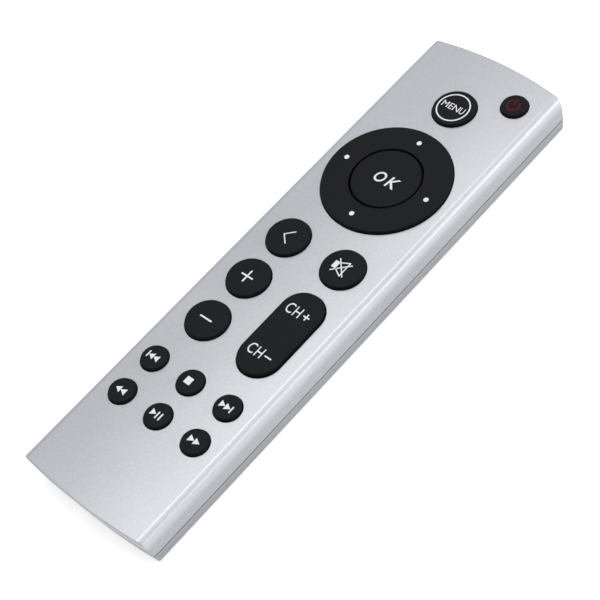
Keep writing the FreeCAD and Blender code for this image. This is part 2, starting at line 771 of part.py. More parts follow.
def make_bottom_shell():
    """Floor and low walls with the lip, screw posts and the way for the battery cover."""
    body = new_body("bottom_shell_body")
    add_outer_form(body)
    above = new_sketch(body, "bottom_above_seam", "XY_Plane", SEAM_LOW)
    add_rectangle(above, -HALF_WIDTH - OUTSIDE, -HALF_LENGTH - OUTSIDE,
                  HALF_WIDTH + OUTSIDE, HALF_LENGTH + OUTSIDE)
    add_pocket(body, "bottom_seam_cut", above, HEIGHT, upward=True)
    hollow = new_sketch(body, "bottom_hollow_plan", "XY_Plane", size("bottom_wall"))
    add_inner_outline(hollow, LIP_IN)
    add_pocket(body, "bottom_hollow", hollow, HEIGHT, upward=True)

    embed = size("root_depth")
    lip = new_sketch(body, "lip_plan", "XY_Plane", SEAM_LOW - embed)
    add_inner_outline(lip, LIP_OUT)
    add_inner_outline(lip, LIP_IN)
    add_pad(body, "lip", lip, LIP_TOP - SEAM_LOW + embed)

    lands = new_sketch(body, "seam_land_plan", "XY_Plane", SEAM_LOW - embed)
    outer = HALF_WIDTH - size("end_edge_radius")
    inner = CAVITY_HALF_WIDTH - LIP_IN
    spans = ((size("land_place"), size("land_length")),
             (size("corner_land_place"), size("corner_land_length")))
    for middle, length in spans:
        low = -HALF_LENGTH + middle - length / 2
        for side in (1, -1):
            low_x, high_x = across(side, inner, outer)
            add_rectangle(lands, low_x, low, high_x, low + length)
    add_pad(body, "seam_lands", lands, embed + size("seam_gap") - size("press_gap"))

    lugs = new_sketch(body, "lug_plan", "XY_Plane", size("lug_bottom"))
    near_x = size("near_case_screw_x") - size("lug_half_width")
    for side, (_, y) in zip((1, -1), NEAR_CASE_SCREWS):
        low_x, high_x = across(side, near_x, inner + embed)
        add_rectangle(lugs, low_x, y - size("lug_half_length"),
                      high_x, y + size("lug_half_length"))
    add_pad(body, "lugs", lugs, SEAM_LOW - size("lug_bottom"))

    posts = new_sketch(body, "post_plan", "XY_Plane", size("bottom_wall") / 2)
    for x, y in FAR_CASE_SCREWS:
        add_circle(posts, x, y, size("case_post_radius"))
    add_pad(body, "posts", posts, SEAM_LOW - size("bottom_wall") / 2)

    holes = new_sketch(body, "case_hole_plan", "XY_Plane")
    for x, y in CASE_SCREWS:
        add_circle(holes, x, y, size("case_screw_radius") + size("screw_gap"))
    add_pocket(body, "case_holes", holes, HEIGHT, upward=True)
    recesses = new_sketch(body, "head_recess_plan", "XY_Plane")
    for x, y in FAR_CASE_SCREWS:
        add_circle(recesses, x, y, size("case_head_radius") + size("screw_gap"))
    add_pocket(body, "head_recesses", recesses,
               size("head_recess") + size("case_head_height"), upward=True)

    plate_half = COVER_HALF + size("cover_gap")
    opening = new_sketch(body, "cover_opening_plan", "XY_Plane")
    add_rectangle(opening, -plate_half, -HALF_LENGTH - OUTSIDE,
                  plate_half, COVER_FAR_EDGE + size("cover_gap"))
    add_pocket(body, "cover_opening", opening, size("bottom_wall") + LEAST_CHANGE, upward=True)
    end_half = COVER_END_HALF + size("cover_gap")
    end_opening = new_sketch(body, "cover_end_plan", "XY_Plane")
    add_rectangle(end_opening, -end_half, -HALF_LENGTH - OUTSIDE,
                  end_half, COVER_END_INNER + size("cover_gap"))
    add_pocket(body, "cover_end_opening", end_opening, SEAM_LOW, upward=True)
    way_half = WING_HALF + size("cover_gap")
    way = new_sketch(body, "wing_way_plan", "XY_Plane", size("bottom_wall"))
    add_rectangle(way, -way_half, -HALF_LENGTH, way_half, COVER_END_INNER + LIP_IN)
    add_pocket(body, "wing_way", way, SEAM_LOW - size("bottom_wall"), upward=True)
    return keep(body, "bottom_shell")


# Battery cover

def make_battery_cover():
    """Sliding plate with its end wall, side wings and thumb grip."""
    beyond = -HALF_LENGTH - OUTSIDE
    floor = size("bottom_wall")
    plate = box("cover_plate_space", (-COVER_HALF, beyond, -OUTSIDE),
                (COVER_HALF, COVER_FAR_EDGE, floor))
    end = box("cover_end_space", (-COVER_END_HALF, beyond, -OUTSIDE),
              (COVER_END_HALF, COVER_END_INNER, SEAM_LOW - size("cover_gap")))
    space = fuse("cover_space", [plate, end])
    skin = common("cover_skin", [outer_form, space])
    wing_low = floor + size("wing_gap")
    wing_high = wing_low + size("wing_thickness")
    root_x = COVER_HALF - size("wing_root_width")
    start = COVER_END_INNER - size("wing_root_width")
    wings = []
    for side in (1, -1):
        low_x, high_x = across(side, root_x, COVER_HALF)
        wings.append(box(f"cover_root_{side + 1}", (low_x, start, floor / 2),
                         (high_x, COVER_FAR_EDGE, wing_high)))
        low_x, high_x = across(side, root_x, WING_HALF)
        wings.append(box(f"cover_wing_{side + 1}", (low_x, start, wing_low),
                         (high_x, COVER_FAR_EDGE, wing_high)))
    whole = fuse("cover_whole", [skin] + wings)
    grips = []
    half = size("grip_length") / 2
    for number in range(GRIP_COUNT):
        low = -HALF_LENGTH + size("grip_place") + size("grip_pitch") * number
        grips.append(box(f"cover_grip_{number}", (-half, low, -OUTSIDE),
                         (half, low + size("grip_width"), size("grip_depth"))))
    return keep(cut("battery_cover_cut", whole, fuse("cover_grips", grips)), "battery_cover")


# Keys

def make_round_key(key):
    """Round key: domed cap, flange under the deck and a stem for its contact pill."""
    cap = key.hole - size("key_gap")
    flange = key.hole + size("flange_width")
    stem = cap - size("stem_inset")
    flange_top = DECK_INNER - size("flange_gap")
    flange_bottom = flange_top - size("flange_thickness")
    bottom = CONTACT_TOP + size("key_travel") + size("press_gap") + size("pill_thickness")
    rounding = size("key_edge_radius")
    top = HEIGHT + key.stand
    body = new_body(f"{key.name}_key_body")
    section = new_sketch(body, f"{key.name}_key_section", "XZ_Plane")
    inner = cap - rounding
    dome = size("key_dome")
    dome_radius = (inner * inner + dome * dome) / (dome * 2)
    add_loop(section, (
        (0, bottom), (stem, bottom), (stem, flange_bottom), (flange, flange_bottom),
        (flange, flange_top), (cap, flange_top), (cap, top - dome - rounding),
        (inner, top - dome), (0, top),
    ), {6: rounding, 7: dome_radius})
    add_feature(body, "Revolution", f"{key.name}_key_turned", True, Profile=section,
                ReferenceAxis=(section, ["V_Axis"]), Angle=360.0)
    place(body, key.x, key.y)
    keep(body, f"{key.name}_button")
    pill = rod(f"{key.name}_pill_rod", key.x, key.y, bottom - size("pill_thickness"), bottom,
               key.pill)
    keep(pill, f"{key.name}_contact_pill")


def make_ok_key():
    """Centre key inside the ring."""
    bottom = CONTACT_TOP + size("key_travel") + size("press_gap") + size("pill_thickness")
    cap = size("ok_radius")
    rounding = size("key_edge_radius")
    top = HEIGHT + size("large_key_stand")
    body = new_body("ok_key_body")
    section = new_sketch(body, "ok_key_section", "XZ_Plane")
    inner = cap - rounding
    dome = size("key_dome")
    dome_radius = (inner * inner + dome * dome) / (dome * 2)
    add_loop(section, (
        (0, bottom), (cap, bottom), (cap, top - dome - rounding), (inner, top - dome), (0, top),
    ), {2: rounding, 3: dome_radius})
    add_feature(body, "Revolution", "ok_key_turned", True, Profile=section,
                ReferenceAxis=(section, ["V_Axis"]), Angle=360.0)
    place(body, 0, DPAD_Y)
    keep(body, "ok_button")
    pill = rod("ok_pill_rod", 0, DPAD_Y, bottom - size("pill_thickness"), bottom,
               size("large_pill_radius"))
    keep(pill, "ok_contact_pill")


def tilt_gap(reach):
    """Room for a point this far from the pivot to go down, with both tilts together."""
    return reach * sine(size("tilt_angle")) + size("tilt_gap")


def make_dpad_ring():
    """Rocking ring with its flange under the deck and four columns for contact pills."""
    cap = size("dpad_hole_radius") - size("key_gap")
    flange = size("dpad_hole_radius") + size("ring_flange_width")
    rounding = size("key_edge_radius")
    inner_rounding = size("rim_radius")
    top = HEIGHT + size("large_key_stand") - size("key_dome")
    body = new_body("dpad_ring_body")
    section = new_sketch(body, "dpad_ring_section", "XZ_Plane")
    add_loop(section, (
        (RING_INNER, RING_PIVOT), (flange, RING_PIVOT), (flange, RING_FLANGE_TOP),
        (cap, RING_FLANGE_TOP), (cap, top - rounding), (cap - rounding, top),
        (RING_INNER + inner_rounding, top), (RING_INNER, top - inner_rounding),
    ), {4: rounding, 6: inner_rounding})
    add_feature(body, "Revolution", "dpad_ring_turned", True, Profile=section,
                ReferenceAxis=(section, ["V_Axis"]), Angle=360.0)
    reach = size("ring_pill_place")
    pill_radius = size("small_pill_radius")
    bottom = CONTACT_TOP + tilt_gap(reach + pill_radius) + size("pill_thickness")
    columns = new_sketch(body, "dpad_column_plan", "XY_Plane", bottom)
    places = ((reach, dim(0)), (dim(0), reach), (-reach, dim(0)), (dim(0), -reach))
    for x, y in places:
        add_circle(columns, x, y, pill_radius)
    add_pad(body, "dpad_columns", columns,
            RING_PIVOT - bottom + size("ring_flange_thickness") / 2)
    place(body, 0, DPAD_Y)
    keep(body, "dpad_ring")
    pills = [rod(f"dpad_pill_{number}", x, DPAD_Y + y, bottom - size("pill_thickness"),
                 bottom, pill_radius) for number, (x, y) in enumerate(places)]
    keep(group("dpad_pill_group", pills), "dpad_contact_pills")


def make_dpad_seat():
    """Soft pad under the ring: it tilts on two feet and carries the ring on two nubs."""
    y = DPAD_Y
    middle = size("seat_radius")
    half = size("seat_width") / 2
    high = RING_PIVOT - middle * sine(size("tilt_angle")) - size("seat_gap")
    low = high - size("seat_thickness")
    outer = rod("seat_outer", 0, y, low, high, middle + half)
    inner = rod("seat_inner", 0, y, low - OUTSIDE, high + OUTSIDE, middle - half)
    ring = cut("seat_ring", outer, inner)
    foot = size("seat_foot_radius")
    nubs = []
    for number, side in enumerate((-1, 1)):
        nubs.append(rod(f"seat_nub_{number}", 0, y + middle * side, low,
                        RING_PIVOT - size("seat_gap"), foot))
        nubs.append(rod(f"seat_foot_{number}", middle * side, y, MAT_FLOOR_TOP + size("seat_gap"),
                        high, foot))
    keep(fuse("seat_whole", [ring] + nubs), "dpad_seat")


def make_channel_rocker():
    """Long rocking key with a flange and two columns for contact pills."""
    stretch = ROCKER_STRETCH
    cap = size("rocker_hole_radius") - size("key_gap")
    flange = size("rocker_hole_radius") + size("flange_width")
    top = HEIGHT + size("large_key_stand")
    body = new_body("channel_rocker_body")
    plan = new_sketch(body, "rocker_flange_plan", "XY_Plane", ROCKER_PIVOT)
    add_slot(plan, 0, 0, flange, stretch)
    add_pad(body, "rocker_flange", plan, size("ring_flange_thickness"))
    plan = new_sketch(body, "rocker_cap_plan", "XY_Plane", ROCKER_PIVOT)
    add_slot(plan, 0, 0, cap, stretch)
    add_pad(body, "rocker_cap", plan, top - ROCKER_PIVOT)
    add_rounds(body, "rocker_edges", size("key_edge_radius"),
               lambda edge, shape: edge.BoundBox.ZMin > top.value - SAME_PLACE)
    reach = ROCKER_PILL
    pill_radius = size("small_pill_radius")
    bottom = CONTACT_TOP + tilt_gap(reach + pill_radius) + size("pill_thickness")
    columns = new_sketch(body, "rocker_column_plan", "XY_Plane", bottom)
    for side in (-1, 1):
        add_circle(columns, 0, reach * side, pill_radius)
    add_pad(body, "rocker_columns", columns,
            ROCKER_PIVOT - bottom + size("ring_flange_thickness") / 2)
    place(body, COLUMN, ROCKER_Y)
    keep(body, "channel_rocker")
    pills = [rod(f"rocker_pill_{side}", COLUMN, ROCKER_Y + reach * sign,
                 bottom - size("pill_thickness"), bottom, pill_radius)
             for side, sign in (("low", -1), ("high", 1))]
    keep(group("rocker_pill_group", pills), "channel_contact_pills")


# Circuit board and keypad mat

def add_board_outline(sketch, x, near, far, notch_half, notch_floor):
    """Rectangle with a notch in its far edge for the emitter."""
    add_loop(sketch, ((-x, near), (x, near), (x, far), (notch_half, far),
                      (notch_half, notch_floor), (-notch_half, notch_floor),
                      (-notch_half, far), (-x, far)))


def make_board():
    """Printed board with its screw and boss holes."""
    body = new_body("circuit_board_body")
    plan = new_sketch(body, "board_plan", "XY_Plane", BOARD_BOTTOM)
    notch = size("lead_notch_width") / 2
    add_board_outline(plan, BOARD_HALF_WIDTH, BOARD_NEAR, BOARD_FAR, notch, NOTCH_FLOOR)
    add_pad(body, "board_plate", plan, size("board_thickness"))
    holes = new_sketch(body, "board_hole_plan", "XY_Plane", BOARD_BOTTOM)
    for x, y in BOARD_SCREWS:
        add_circle(holes, x, y, size("board_screw_radius") + size("screw_gap"))
    for x, y in FAR_CASE_SCREWS:
        add_circle(holes, x, y, size("case_boss_radius") + size("boss_hole_gap"))
    add_pocket(body, "board_holes", holes, size("board_thickness") + OUTSIDE, upward=True)
    keep(body, "circuit_board")


def pad_places():
    """Middle and radius of each contact on the board."""
    spots = [(key.x, key.y, key.pill) for key in KEYS]
    y = DPAD_Y
    reach = size("ring_pill_place")
    spots.append((dim(0), y, size("large_pill_radius")))
    for x_share, y_share in ((1, 0), (0, 1), (-1, 0), (0, -1)):
        spots.append((reach * x_share, y + reach * y_share, size("small_pill_radius")))
    for side in (-1, 1):
        spots.append((COLUMN, ROCKER_Y + ROCKER_PILL * side,
                      size("small_pill_radius")))
    return spots


def make_contact_pads():
    """Carbon contacts printed on the board, one under each pill."""
    pads = [rod(f"contact_pad_{number}", x, y, BOARD_TOP, CONTACT_TOP,
                radius + size("pad_radius_step"))
            for number, (x, y, radius) in enumerate(pad_places())]
    keep(group("contact_pad_group", pads), "contact_pads")


def make_mat():
    """Soft mat between board and deck, open under each key."""
    body = new_body("keypad_mat_body")
    plan = new_sketch(body, "mat_plan", "XY_Plane", BOARD_TOP)
    notch = size("lead_notch_width") / 2 + size("hole_clearance")
    inset = size("mat_inset")
    add_board_outline(plan, MAT_HALF_WIDTH, BOARD_NEAR + inset, BOARD_FAR - inset, notch,
                      NOTCH_FLOOR - size("lead_length") + inset)
    add_pad(body, "mat_plate", plan, size("mat_thickness"))
    recess = new_sketch(body, "mat_recess_plan", "XY_Plane", MAT_FLOOR_TOP)
    reach = size("dpad_hole_radius") + size("ring_flange_width") + size("hole_clearance")
    add_rectangle(recess, -HALF_WIDTH, DPAD_Y - reach, HALF_WIDTH, DPAD_Y + reach)
    add_pocket(body, "mat_recess", recess, size("mat_thickness"), upward=True)
    clearance = size("hole_clearance")
    holes = new_sketch(body, "mat_hole_plan", "XY_Plane", BOARD_TOP)
    for key in KEYS:
        add_circle(holes, key.x, key.y,
                   key.hole - size("key_gap") - size("stem_inset") + clearance)
    for x, y, radius in pad_places()[len(KEYS):]:
        add_circle(holes, x, y, radius + size("pad_radius_step") + clearance)
    for x, y in BOARD_SCREWS:
        add_circle(holes, x, y, size("board_boss_radius") + clearance)
    for x, y in FAR_CASE_SCREWS:
        add_circle(holes, x, y, size("case_boss_radius") + clearance)
    add_pocket(body, "mat_holes", holes, size("mat_thickness") + OUTSIDE, upward=True)
    keep(body, "keypad_mat")


# Parts on the board

def lying(name, radius, length):
    """Round rod that lies along the case."""
    item = DOC.addObject("Part::Cylinder", name)
    bind(item, Radius=radius, Height=length)
    turn = FreeCAD.Rotation(FreeCAD.Vector(1, 0, 0), -90)
    item.Placement = FreeCAD.Placement(FreeCAD.Vector(), turn)
    return item


def hanging_box(name, x, y, length, width, height):
    """Box under the board, from its low corner."""
    return box(name, (x, y, BOARD_BOTTOM - height), (x + length, y + width, BOARD_BOTTOM))


def make_controller():
    """Chip on the board's underside, under a drop of resin."""
    blob = new_body("controller_body")
    section = new_sketch(blob, "controller_section", "XZ_Plane")
    radius = size("chip_radius")
    depth = size("chip_height")
    dome_radius = (radius * radius + depth * depth) / (depth * 2)
    add_loop(section, ((0, BOARD_BOTTOM - depth), (radius, BOARD_BOTTOM), (0, BOARD_BOTTOM)),
             {0: dome_radius})
    add_feature(blob, "Revolution", "controller_turned", True, Profile=section,
                ReferenceAxis=(section, ["V_Axis"]), Angle=360.0)
    place(blob, 0, DPAD_Y - spaced("chip_drop"))
    keep(blob, "controller_chip")


def make_board_parts():
    """Other components that hang from the board's underside."""
    keep(hanging_box("resonator_case", size("resonator_x"), PAIR_Y - spaced("resonator_drop"),
                     size("resonator_length"), size("resonator_width"),
                     size("resonator_height")), "resonator")
    can = lying("capacitor_can", size("capacitor_radius"), size("capacitor_length"))
    place(can, size("capacitor_x"), VOLUME_UP_Y - spaced("capacitor_drop"),
          BOARD_BOTTOM - size("capacitor_radius"))
    keep(can, "capacitor")
    row = [hanging_box(f"resistor_{number}",
                       size("resistor_x") + size("resistor_pitch") * number,
                       PAIR_Y - spaced("resistor_drop"), size("resistor_length"),
                       size("resistor_width"), size("resistor_height"))
           for number in range(RESISTOR_COUNT)]
    keep(group("resistor_group", row), "resistors")
    keep(hanging_box("transistor_case", size("transistor_x"), MENU_Y - spaced("transistor_drop"),
                     size("transistor_length"), size("transistor_width"),
                     size("transistor_height")), "transistor")


def make_emitter():
    """Infrared emitter with its two leads on the far edge of the board."""
    height = BOARD_TOP + size("lead_width") / 2
    radius = size("emitter_radius")
    start = NOTCH_FLOOR + size("lead_width")
    length = WINDOW_BACK - size("emitter_gap") - radius - start
    flange = lying("emitter_flange", size("emitter_flange_radius"),
                   size("emitter_flange_length"))
    place(flange, 0, start, height)
    barrel = lying("emitter_barrel", radius, length)
    place(barrel, 0, start, height)
    tip = DOC.addObject("Part::Sphere", "emitter_tip")
    bind(tip, Radius=radius)
    place(tip, 0, start + length, height)
    keep(fuse("emitter_whole", [flange, barrel, tip]), "ir_emitter")

    half = size("lead_width") / 2
    leads = []
    for number, side in enumerate((-1, 1)):
        x = size("lead_pitch") / 2 * side
        leads.append(box(f"emitter_lead_{number}",
                         (x - half, start - size("lead_length"), BOARD_TOP),
                         (x + half, start, BOARD_TOP + size("lead_width"))))
    keep(group("emitter_lead_group", leads), "ir_emitter_leads")


def make_window():
    """Dark window in the far wall, flush outside and held by a flange inside."""
    gap = size("window_gap")
    half = WINDOW_HALF - gap
    pane_space = box("window_pane_space", (-half, WINDOW_BACK, WINDOW_LOW + gap),
                     (half, HALF_LENGTH + OUTSIDE, WINDOW_HIGH - gap))
    pane = common("window_pane", [outer_form, pane_space])
    flange_x = WINDOW_HALF + size("window_flange")
    flange = box("window_flange_plate", (-flange_x, WINDOW_BACK, WINDOW_LOW + gap),
                 (flange_x, WINDOW_BACK + size("window_flange_thickness"),
                  WINDOW_HIGH + size("window_flange")))
    keep(fuse("window_whole", [pane, flange]), "ir_window")


# Battery and its contacts

def make_cell():
    """Coin cell with its smaller button side towards the board."""
    radius = size("cell_diameter") / 2
    edge = size("cell_edge_radius")
    shoulder = CELL_TOP - size("cell_button_height")
    body = new_body("coin_cell_body")
    section = new_sketch(body, "coin_cell_section", "XZ_Plane")
    add_loop(section, (
        (0, CELL_BOTTOM), (radius - edge, CELL_BOTTOM), (radius, CELL_BOTTOM + edge),
        (radius, shoulder - edge), (radius - edge, shoulder),
        (size("cell_button_radius"), shoulder), (size("cell_button_radius"), CELL_TOP),
        (0, CELL_TOP),
    ), {1: edge, 3: edge})
    add_feature(body, "Revolution", "coin_cell_turned", True, Profile=section,
                ReferenceAxis=(section, ["V_Axis"]), Angle=360.0)
    place(body, 0, CELL_Y)
    keep(body, "coin_cell")


def make_cell_contacts():
    """Leaf against the cell's button and clip against its rim, both soldered to the board."""
    thick = size("clip_thickness")
    gap = size("clip_gap")
    leaf = new_body("negative_leaf_body")
    section = new_sketch(leaf, "leaf_section", "YZ_Plane")
    root_end = CELL_Y - size("leaf_root")
    bend = CELL_Y - size("leaf_bend")
    touch = CELL_Y + size("leaf_reach")
    end = touch + size("leaf_tip")
    low = CELL_TOP + gap
    add_loop(section, (
        (root_end, BOARD_BOTTOM - thick), (bend, BOARD_BOTTOM - thick), (touch, low),
        (end, low), (end, low + thick), (touch, low + thick), (bend, BOARD_BOTTOM),
        (root_end, BOARD_BOTTOM),
    ))
    add_pad(leaf, "leaf_strip", section, size("leaf_width"), Midplane=True)
    keep(leaf, "battery_negative_leaf")

    clip = new_body("positive_clip_body")
    section = new_sketch(clip, "clip_section", "YZ_Plane")
    rim = CELL_Y + size("cell_diameter") / 2 + gap
    foot = rim + size("clip_foot")
    low = CELL_BOTTOM + size("clip_lift")
    add_loop(section, (
        (rim, low), (rim + thick, low), (rim + thick, BOARD_BOTTOM - thick),
        (foot, BOARD_BOTTOM - thick), (foot, BOARD_BOTTOM), (rim, BOARD_BOTTOM),
    ))
    add_pad(clip, "clip_strip", section, size("clip_width"), Midplane=True)
    keep(clip, "battery_positive_clip")


# Screws

def make_screw(name, x, y, seat, radius, length, head_radius, head_height):
    """Screw driven upwards: round head below its seat, with a cross recess."""
    shank = rod(f"{name}_shank", x, y, seat, seat + length, radius)
    head = rod(f"{name}_head", x, y, seat - head_height, seat, head_radius)
    low = seat - head_height
    half = size("cross_width") / 2
    arm = head_radius - size("cross_margin")
    depth = size("cross_depth")
    bars = [
        box(f"{name}_bar_x", (x - arm, y - half, low - OUTSIDE),
            (x + arm, y + half, low + depth)),
        box(f"{name}_bar_y", (x - half, y - arm, low - OUTSIDE),
            (x + half, y + arm, low + depth)),
    ]
    solid = fuse(f"{name}_solid", [shank, head])
    return cut(f"{name}_screw", solid, fuse(f"{name}_cross", bars))


def make_screws():
    """Five board screws and four case screws."""
    board = [make_screw(f"board_{number}", x, y, BOARD_BOTTOM, size("board_screw_radius"),
                        size("board_screw_length"), size("board_head_radius"),
                        size("board_head_height"))
             for number, (x, y) in enumerate(BOARD_SCREWS)]
    keep(group("board_screw_group", board), "board_screws")
    far_seat = size("head_recess") + size("case_head_height")
    seats = [(x, y, far_seat) for x, y in FAR_CASE_SCREWS]
    seats += [(x, y, size("lug_bottom")) for x, y in NEAR_CASE_SCREWS]
    case = [make_screw(f"case_{number}", x, y, seat, size("case_screw_radius"),
                       size("case_screw_length"), size("case_head_radius"),
                       size("case_head_height"))
            for number, (x, y, seat) in enumerate(seats)]
    keep(group("case_screw_group", case), "case_screws")


make_top_shell()
make_bottom_shell()
make_battery_cover()
for round_key in KEYS:
    make_round_key(round_key)
make_ok_key()
make_dpad_ring()
make_dpad_seat()
make_channel_rocker()
make_mat()
make_board()
make_contact_pads()
make_controller()
make_board_parts()
make_emitter()
make_window()
make_cell()
make_cell_contacts()
make_screws()
DOC.recompute()

for item in DOC.Objects:
    if "Invalid" in item.State or "Error" in item.State:
        raise ValueError(f"{item.Label} did not compute")
for piece in PIECES:
    if piece.Shape.isNull() or not piece.Shape.isValid():
        raise ValueError(f"{piece.Label} has no valid shape")

os.makedirs("parts", exist_ok=True)
for piece in PIECES:
    piece.Shape.exportStep(f"parts/{piece.Label}.step")
    bounds = piece.Shape.BoundBox
    print(f"{piece.Label:26s} solids {len(piece.Shape.Solids):2d} volume {piece.Shape.Volume:9.2f} "
          f"x {bounds.XMin:7.2f} {bounds.XMax:7.2f} y {bounds.YMin:7.2f} {bounds.YMax:7.2f} "
          f"z {bounds.ZMin:6.2f} {bounds.ZMax:6.2f}")
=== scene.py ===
"""Looks of a tv box remote control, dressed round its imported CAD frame.

The case, keys and inner parts are the frame's own nodes with worked-up finishes. The marks on the keys,
the small arrow on the battery door and the pole mark on the cell are modelled here.
"""

from __future__ import annotations

import json
import logging
import math
from dataclasses import dataclass, field
from enum import Enum
from typing import Callable, Iterable, Sequence

import bmesh
import bpy
from mathutils import Matrix, Vector

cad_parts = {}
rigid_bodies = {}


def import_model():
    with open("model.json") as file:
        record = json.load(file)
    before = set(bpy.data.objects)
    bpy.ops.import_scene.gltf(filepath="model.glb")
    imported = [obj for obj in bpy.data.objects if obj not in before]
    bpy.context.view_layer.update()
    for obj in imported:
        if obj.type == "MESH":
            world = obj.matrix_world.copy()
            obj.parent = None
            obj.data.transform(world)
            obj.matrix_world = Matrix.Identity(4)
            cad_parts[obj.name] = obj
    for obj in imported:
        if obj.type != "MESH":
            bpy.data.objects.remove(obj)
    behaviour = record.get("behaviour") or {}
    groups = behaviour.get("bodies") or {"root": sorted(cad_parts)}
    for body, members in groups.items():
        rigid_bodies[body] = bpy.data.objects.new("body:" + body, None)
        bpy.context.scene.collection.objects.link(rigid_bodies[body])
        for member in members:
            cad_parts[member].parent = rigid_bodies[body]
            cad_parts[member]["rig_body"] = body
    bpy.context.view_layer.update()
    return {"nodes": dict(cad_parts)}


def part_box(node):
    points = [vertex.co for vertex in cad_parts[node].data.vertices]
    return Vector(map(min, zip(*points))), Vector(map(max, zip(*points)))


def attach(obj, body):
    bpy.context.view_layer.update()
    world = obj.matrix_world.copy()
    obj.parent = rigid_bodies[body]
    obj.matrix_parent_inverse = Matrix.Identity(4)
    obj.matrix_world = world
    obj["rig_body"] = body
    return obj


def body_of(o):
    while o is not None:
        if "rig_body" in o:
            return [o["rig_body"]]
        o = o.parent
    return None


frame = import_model()

LOG = logging.getLogger("remote")
MM = 0.001
SMOOTH_BELOW = math.radians(40)

# A stroke starts as a block of this height in millimetres, of which the faces that look up are kept.
BLOCK_HEIGHT = 1.0
LOOKS_UP = 0.5

Colour = tuple[float, float, float]
Triple = tuple[float, float, float]
Point = tuple[float, float]
Socket = bpy.types.NodeSocket
Feed = Socket | float | Colour

# Most values of a noise lie in WIDE, and NARROW gives more contrast.
WIDE: Point = (0.3, 0.7)
NARROW: Point = (0.35, 0.65)

# The colour sockets of a Mix node are found by index, because their names repeat for each kind of data.
MIX_SHARE, MIX_FIRST, MIX_SECOND = 0, 6, 7
MIX_RESULT = 2


class Ink(Enum):
    """The inks of the printed marks, by the record's slot."""

    WHITE = "legend_white"
    RED = "legend_red"
    BLACK = "key_black"


class Side(Enum):
    """The side of a node that a print is on, by the sign of its height."""

    TOP = 1
    UNDERSIDE = -1


class Heading(Enum):
    """The way a pointed mark looks along the key."""

    LEFT = -1
    RIGHT = 1


@dataclass(frozen=True)
class Grain:
    """A soft pattern that stands up from a surface, by its features to the metre and its depth in metres."""

    per_metre: float
    depth: float
    strength: float
    detail: float = 2.0


